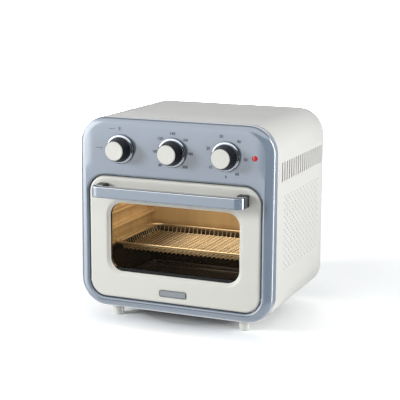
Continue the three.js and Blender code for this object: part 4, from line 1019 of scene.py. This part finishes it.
class Tree:
    """The node tree of a material or of the world while it is being made."""

    def __init__(self, owner):
        owner.use_nodes = True
        self.tree = owner.node_tree
        self.tree.nodes.clear()

    def node(self, kind, settings=(), inputs=(), output=0):
        """Adds a node: its settings first, then its sockets' values or links."""
        node = self.tree.nodes.new("ShaderNode" + kind)
        for key, value in dict(settings).items():
            if key == "stops":
                ramp = node.color_ramp.elements
                while len(ramp) < len(value):
                    ramp.new(0.5)
                for stop, (at, colour) in zip(ramp, value):
                    stop.position = at
                    stop.color = colour
            else:
                setattr(node, key, value)
        for key, value in dict(inputs).items():
            if isinstance(value, Wire):
                self.tree.links.new(value.socket, node.inputs[key])
            else:
                node.inputs[key].default_value = value
        return Wire(self, node.outputs[output]) if node.outputs else None

    def ranged(self, value, start, end, low=0.0, high=1.0, ease="LINEAR"):
        """A value's way from start to end, as a number from low to high, held beyond them."""
        return self.node("MapRange", {"interpolation_type": ease}, {0: value, 1: start, 2: end, 3: low, 4: high})

    def between(self, share, first, second):
        """A number between two, by a share."""
        return self.node("Mix", inputs={0: share, 2: first, 3: second})


class Finish(Tree):
    """A material while it is being made."""

    def __init__(self, name):
        self.material = bpy.data.materials.new(name)
        super().__init__(self.material)
        self.place = self.node("TexCoord", output="Object")

    def height(self):
        """How high each point lies."""
        return self.node("SeparateXYZ", inputs={0: self.place}, output=2)

    def noise(self, size, detail=2.0, stretch=(1, 1, 1)):
        """Soft noise, its features about as large as the size in metres."""
        place = self.node("Mapping", inputs={0: self.place, "Scale": stretch})
        return self.node("TexNoise", inputs={"Vector": place, "Scale": 1 / size, "Detail": detail})

    def mix(self, share, first, second):
        """A colour between two, by a share."""
        return self.node("Mix", {"data_type": "RGBA"}, {0: share, 6: first, 7: second}, output=2)

    def bump(self, height, depth):
        """A normal from a height of 0 to 1, as deep as the depth in metres."""
        return self.node("Bump", inputs={"Strength": 1.0, "Distance": depth, "Height": height})

    def surface(self, **inputs):
        """A Principled shader, its sockets named with underscores for spaces."""
        sockets = {key.replace("_", " "): value for key, value in inputs.items()}
        return self.node("BsdfPrincipled", inputs=sockets)

    def done(self, shader):
        """The material, with its shader joined to the output."""
        self.node("OutputMaterial", inputs={0: shader})
        return self.material

    def glossed(self, **inputs):
        """The material with a Principled shader."""
        return self.done(self.surface(**inputs))


def paint_finish(name, colour, roughness, coat, peel):
    """Enamel or lacquer: a faint drift of colour and the fine waviness of a sprayed coat."""
    finish = Finish(name)
    shade = finish.mix(finish.noise(0.06), colour, darker(colour, 0.02))
    rough = finish.noise(0.012) * 0.06 + (roughness - 0.03)
    wave = finish.bump(finish.noise(0.004), peel)
    return finish.glossed(Base_Color=shade, Roughness=rough, Normal=wave, Coat_Weight=coat, Coat_Roughness=0.06)


def metal_finish(name, colour, roughness, grain, stretch=(1, 1, 1), depth=0.000004, blotch=0.08):
    """Metal with a fine grain, brushed where the noise is stretched, and slow blotches in its polish."""
    finish = Finish(name)
    fine = finish.noise(grain, 3.0, stretch)
    shade = finish.mix(finish.noise(0.03), colour, darker(colour, blotch))
    rough = fine * 0.1 + finish.noise(0.02) * 0.06 + (roughness - 0.08)
    return finish.glossed(Base_Color=shade, Metallic=1.0, Roughness=rough, Normal=finish.bump(fine, depth))


def cavity_finish():
    """Steel browned by heat: tan in the upper cavity and painted near black below the basket as shade, with faint
    upright bands.
    """
    finish = Finish("browned_steel_and_painted_shade")
    # Where the painted shade under the basket gives way to the bare steel, by height
    above_painted_shade = finish.ranged(finish.height() + finish.noise(0.02) * 0.008, 0.1, 0.122)
    band = finish.noise(0.02, 1.0, (1, 1, 0.05))
    upper = finish.mix(band, srgb(220, 198, 158), srgb(174, 150, 114))
    # Painted shade: below the basket the steel is coloured near black for the shade that falls there
    lower = finish.mix(band, srgb(16, 13, 8), srgb(56, 48, 32))
    rough = finish.noise(0.01) * 0.12 + 0.34
    grain = finish.bump(finish.noise(0.001, 3.0, (20, 1, 20)), 0.000004)
    shade = finish.mix(above_painted_shade, lower, upper)
    return finish.glossed(Base_Color=shade, Metallic=0.5, Roughness=rough, Normal=grain)


def plastic_finish(name, colour, roughness, depth=0.000006, coat=0.0, shine=0.5):
    """Moulded plastic: a fine texture from the mould and a faint drift of colour."""
    finish = Finish(name)
    texture = finish.bump(finish.noise(0.001, 3.0), depth)
    shade = finish.mix(finish.noise(0.03), colour, darker(colour, 0.06))
    rough = finish.noise(0.008) * 0.08 + (roughness - 0.04)
    return finish.glossed(
        Base_Color=shade, Roughness=rough, Normal=texture, Coat_Weight=coat, Specular_IOR_Level=shine
    )


def glass_finish():
    """Toughened glass as a thin pane: it lets most light through, and a black band is printed along its lower edge."""
    finish = Finish("tinted_glass")
    clear = finish.node("BsdfTransparent", inputs={0: srgb(236, 231, 222)})
    smear = finish.noise(0.05) * 0.04 + 0.02
    gloss = finish.surface(Base_Color=(0.006, 0.006, 0.006, 1), Roughness=smear, Specular_IOR_Level=0.2)
    pane = finish.node("MixShader", inputs={0: 0.08, 1: clear, 2: gloss})
    edge, soft = window.low + 0.0052, 0.0002
    band = finish.ranged(finish.height(), edge + soft, edge - soft)
    return finish.done(finish.node("MixShader", inputs={0: band, 1: pane, 2: gloss}))


def badge_finish():
    """A brushed plate: a grey field inside a darker edge, by the distance from the plate's edge."""
    finish = Finish("bare_badge")
    low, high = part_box("badge_plate")
    rim_start, rim_end = 0.0011, 0.0008
    place = finish.node("SeparateXYZ", inputs={0: finish.place})
    tall = (high.z - low.z) / 2
    across = finish.ranged(abs(place), high.x - rim_start, high.x - rim_end)
    upright = finish.ranged(abs(place.out(2) - (low.z + high.z) / 2), tall - rim_start, tall - rim_end)
    rim = finish.node("Math", {"operation": "MAXIMUM"}, {0: across, 1: upright})
    grain = finish.noise(0.0006, 3.0, BRUSHED)
    field = finish.mix(grain, srgb(106, 110, 113), srgb(128, 132, 135))
    shade = finish.mix(rim, field, srgb(66, 69, 73))
    rough = 0.45 - rim * 0.2 + grain * 0.1
    return finish.glossed(Base_Color=shade, Metallic=0.8, Roughness=rough, Normal=finish.bump(grain, 0.000004))


def lens_finish():
    """A red lens with a faint mottle of two reds, lit from behind."""
    finish = Finish("red_lens")
    shade = finish.mix(finish.noise(0.002), srgb(206, 26, 28), srgb(176, 12, 18))
    return finish.glossed(
        Base_Color=shade, Roughness=0.25, Emission_Color=shade, Emission_Strength=0.12, Coat_Weight=0.2
    )


# Finishes, by the record's slots. BRUSHED grain runs along X, and LAMINATED lies in level layers
BRUSHED, LAMINATED = (1, 30, 30), (1, 1, 12)
finishes = {
    "bezel_paint": paint_finish("blue_lacquer", srgb(133, 147, 164), 0.1, 1.0, 0.000003),
    "body_paint": paint_finish("cream_enamel", srgb(232, 231, 226), 0.42, 0.2, 0.000006),
    "cream_moulding": paint_finish("cream_gloss", srgb(222, 222, 215), 0.35, 0.3, 0.000003),
    "plating": metal_finish("chrome", srgb(150, 154, 160), 0.1, 0.002, depth=0.000002, blotch=0.03),
    "skirt_plating": metal_finish("smoked_chrome", srgb(158, 161, 168), 0.12, 0.002, depth=0.000002, blotch=0.03),
    "knob_black": plastic_finish("black_gloss", srgb(12, 13, 17), 0.18, depth=0.000004, shine=0.4),
    "black_plastic": plastic_finish("black_moulding", srgb(26, 27, 29), 0.4),
    "door_glass": glass_finish(),
    "badge_metal": badge_finish(),
    "pilot_lens": lens_finish(),
    "cavity_steel": cavity_finish(),
    "door_lining": metal_finish("door_steel", srgb(186, 180, 170), 0.35, 0.001, (20, 1, 20)),
    "zinc_steel": metal_finish("zinc_plate", srgb(170, 172, 174), 0.42, 0.004, blotch=0.25),
    "basket_wire": metal_finish("basket_wire", srgb(214, 200, 174), 0.35, 0.001),
    "dial_print": plastic_finish("dial_print", srgb(58, 64, 80), 0.6, shine=0.1),
    # Dark enamel, made darker still as painted shade under the basket
    "tray_enamel": plastic_finish("dark_enamel_and_painted_shade", srgb(30, 26, 20), 0.4, coat=0.2),
    "coil_steel": metal_finish("coil_sheath", srgb(92, 86, 80), 0.5, 0.0008, blotch=0.4),
    "motor_steel": metal_finish("motor_stack", srgb(120, 122, 126), 0.5, 0.0005, LAMINATED),
}

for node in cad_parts.values():
    for index, material in enumerate(node.data.materials):
        node.data.materials[index] = finishes[material.name.split(".")[0]]


def fit(piece, slot_name, body_name, *replaced, finish=None):
    """Gives a piece its finish, the body that it rides on and the solids that it stands for."""
    piece.data.materials.clear()
    piece.data.materials.append(finishes[finish or slot_name])
    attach(piece, body_name)
    for node in replaced:
        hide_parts(node)


fit(make_bezel(), "bezel_paint", "cabinet", "front_bezel")
fit(make_wrap(), "body_paint", "cabinet", "outer_wrap")
fit(make_door_frame(), "cream_moulding", "door", "door_frame")
fit(make_door_glass(), "door_glass", "door", "door_glass")
fit(make_door_liner(), "cavity_steel", "door", "door_liner", finish="door_lining")
fit(make_badge(), "badge_metal", "door", "badge_plate")
fit(make_handle(), "plating", "door", "handle_bar")
fit(make_handle_inlay(), "bezel_paint", "door", "handle_inlay")
for side in ("left", "right"):
    fit(make_spacer(side), "black_plastic", "door", f"handle_spacer_{side}")
    for end in ("front", "rear"):
        name = f"foot_{end}_{side}"
        fit(make_foot(name), "cream_moulding", "cabinet", name)
for knob in ("mode", "temperature", "timer"):
    skirt, grip, cap = make_knob(knob)
    fit(skirt, "plating", f"{knob}_knob", f"{knob}_knob_skirt", finish="skirt_plating")
    fit(grip, "knob_black", f"{knob}_knob", f"{knob}_knob_grip")
    fit(cap, "cream_moulding", f"{knob}_knob", f"{knob}_knob_cap")
fit(make_pilot(), "pilot_lens", "cabinet", "pilot_lens")
fit(make_pilot_ring(), "pilot_lens", "cabinet")
for piece in make_basket():
    fit(piece, "basket_wire", "basket", "fry_basket")
for piece in make_marks():
    fit(piece, None, "cabinet", finish="dial_print")
fit(make_rear_panel(), "body_paint", "cabinet", "rear_panel")
fit(make_bushing(), "black_plastic", "cabinet", "cord_bushing")
for piece in make_screws():
    fit(piece, "zinc_steel", "cabinet")
for side in ("left", "right"):
    fit(make_cavity_wall(side), "cavity_steel", "cabinet", f"cavity_{side}_wall")
fit(make_cavity_roof(), "cavity_steel", "cabinet", "cavity_roof")
fit(make_coil(), "coil_steel", "cabinet", "heating_coil")
fit(make_guard(), "cavity_steel", "cabinet", "coil_guard")
fit(make_tray(), "tray_enamel", "cabinet", "crumb_tray")


# Floor and light


# Strengths of the world and the lamps
AMBIENT, BACKDROP, COOL_WHITE = 0.16, 1.1, (0.97, 0.985, 1, 1)
KEY_POWER = 46.0
FILL_POWER = 62.0
REAR_POWER = 16.0
CAVITY_LIGHT = 0.55
# What gloss mirrors: strengths by degrees from straight ahead, to the right, and above, behind and below
STUDIO_SCALE = 16.0
ROUND_ABOUT = [
    (-180, 0.7), (-147, 0.7), (-140, 2.8), (-115, 2.8), (-88, 3.6), (-74, 6.6), (-38, 6.6),
    (-31, 3), (-18, 3), (-12, 1.3), (-4, 0.3), (4, 0.06), (37, 0.06), (76, 0.1), (96, 0.3),
    (99, 16), (112, 16), (117, 0.6), (150, 0.7), (180, 0.7),
]
OVERHEAD, BEHIND, REARWARD, UNDERNEATH = 2.8, 0.3, 2.3, 1.4
LOW_SHARE, SHUT_SHARE = 0.55, 0.83
# Where its parts begin and end, as the backward or upward part of a direction, or in degrees
LOW_EDGE, SHUT_EDGE, UNDER_EDGE = (-0.24, -0.13), (0.1, -0.05), (-0.35, -0.5)
OVERHEAD_EDGE, CEILING_EDGE, LEFT_EDGE = (0.5, 0.7), (0.02, 0.2), (-76, -92)
WINDOW_BACK, WINDOW_RISE = (0.6, 0.7), (0.34, 0.46)
# The floor's brightness to the camera under the oven, near it and far off, and where these change, in metres
FLOOR_UNDER, FLOOR_NEAR, FLOOR_FAR = 0.9, 2.0, 24.0
FLOOR_EDGE, FLOOR_REACH = (0.09, 0.3), (0.3, 4.0)


def make_floor():
    """A pale disc, staged. The camera sees it brighter than the oven does, and brighter far off than near.

    Under the oven it keeps FLOOR_UNDER, and from there to FLOOR_NEAR it rises by a power of the way out.
    """
    radius, below, thickness, sides = 6, -0.0002, 0.01, 96
    turn = np.arange(sides) * 2 * math.pi / sides
    rim = np.stack([radius * np.cos(turn), radius * np.sin(turn), np.full(sides, below)], 1)
    piece = skin("floor", [rim * (share, share, 1) for share in (0.05, 0.2, 1.0)] + [rim - (0, 0, thickness)])
    finish = Finish("pale_floor")
    seen = finish.node("LightPath")
    far = finish.node("VectorMath", {"operation": "LENGTH"}, {0: finish.place}, output=1)
    reach = finish.ranged(far, *FLOOR_REACH, ease="SMOOTHSTEP")
    out_from_under = finish.ranged(far, *FLOOR_EDGE)
    rise = finish.node("Math", {"operation": "POWER"}, {0: out_from_under, 1: 0.35})
    boost = (reach * (FLOOR_FAR - FLOOR_NEAR) + rise * (FLOOR_NEAR - FLOOR_UNDER)) * seen + FLOOR_UNDER
    white = finish.node("CombineColor", inputs={0: boost * 0.985, 1: boost, 2: boost * 1.01})
    piece.data.materials.append(finish.done(finish.node("BsdfDiffuse", inputs={0: white})))
    piece.visible_glossy = False


def softbox(name, place_at, aim, width, height, power, colour=(1, 1, 1), mirrored_too=False):
    """A rectangular lamp aimed at a point. It lights what is matt, and gloss mirrors it only where asked to."""
    data = bpy.data.lights.new(name, "AREA")
    data.shape = "RECTANGLE"
    data.size = width
    data.size_y = height
    data.energy = power
    data.color = colour
    lamp = linked(name, data)
    lamp.location = place_at
    lamp.rotation_euler = (Vector(aim) - Vector(place_at)).to_track_quat("-Z", "Y").to_euler()
    lamp.visible_camera = False
    lamp.visible_glossy = mirrored_too


def make_world():
    """White to the camera and even on what is matt.

    Gloss mirrors a studio that is bright on the left and dark in front, with a bright card on the right and a lit
    window high at the back.
    """
    world = bpy.data.worlds.new("studio")
    bpy.context.scene.world = world
    studio = Tree(world)
    right = studio.node("SeparateXYZ", inputs={0: studio.node("TexCoord", output="Generated")})
    back, up = right.out(1), right.out(2)
    azimuth = studio.node("Math", {"operation": "ARCTAN2"}, {0: right, 1: back * -1.0})
    stops = [((degrees + 180) / 360, (*[strength / STUDIO_SCALE] * 3, 1)) for degrees, strength in ROUND_ABOUT]
    ramp = studio.node("ValToRGB", {"stops": stops}, {0: studio.ranged(azimuth, -math.pi, math.pi)})
    walls = ramp * STUDIO_SCALE * studio.ranged(up, *LOW_EDGE, LOW_SHARE, 1.0)
    shut = studio.ranged(azimuth, *map(math.radians, LEFT_EDGE)) * studio.ranged(up, *SHUT_EDGE, 0.0, SHUT_SHARE)
    walls = studio.between(shut, walls, 0.0)
    ceiling = studio.ranged(back, *CEILING_EDGE, OVERHEAD, BEHIND)
    high = studio.between(studio.ranged(up, *OVERHEAD_EDGE), walls, ceiling)
    window_light = studio.ranged(back, *WINDOW_BACK) * studio.ranged(up, *WINDOW_RISE)
    high = studio.between(window_light, high, REARWARD)
    whole = studio.between(studio.ranged(up, *UNDER_EDGE), high, UNDERNEATH)
    glossy, even, bright = (
        studio.node("Background", inputs={"Color": colour, "Strength": strength})
        for colour, strength in ((COOL_WHITE, whole), (COOL_WHITE, AMBIENT), ((1, 1, 1, 1), BACKDROP))
    )
    ray = studio.node("LightPath")
    direct = studio.node("Math", {"operation": "SUBTRACT", "use_clamp": True}, {0: 1.0, 1: ray.out("Diffuse Depth")})
    mirrors = ray.out("Is Glossy Ray") * direct
    light = studio.node("MixShader", inputs={0: mirrors, 1: even, 2: glossy})
    both = studio.node("MixShader", inputs={0: ray.out("Is Camera Ray"), 1: light, 2: bright})
    studio.node("OutputWorld", inputs={0: both})


make_floor()
make_world()
softbox("key", (-1.9, -1.7, 0.85), (0, 0, 0.16), 0.7, 0.7, KEY_POWER)
softbox("fill", (2.5, -0.45, 0.55), (0, 0, 0.12), 2.0, 2.0, FILL_POWER)
softbox("rear", (-0.9, 2.4, 1.1), (0, 0, 0.15), 1.6, 1.6, REAR_POWER)
softbox("cavity_light", (0, 0.01, 0.196), (0, 0.01, 0), 0.2, 0.14, CAVITY_LIGHT, (1, 0.88, 0.72), mirrored_too=True)
bpy.context.scene.view_settings.view_transform = "Standard"
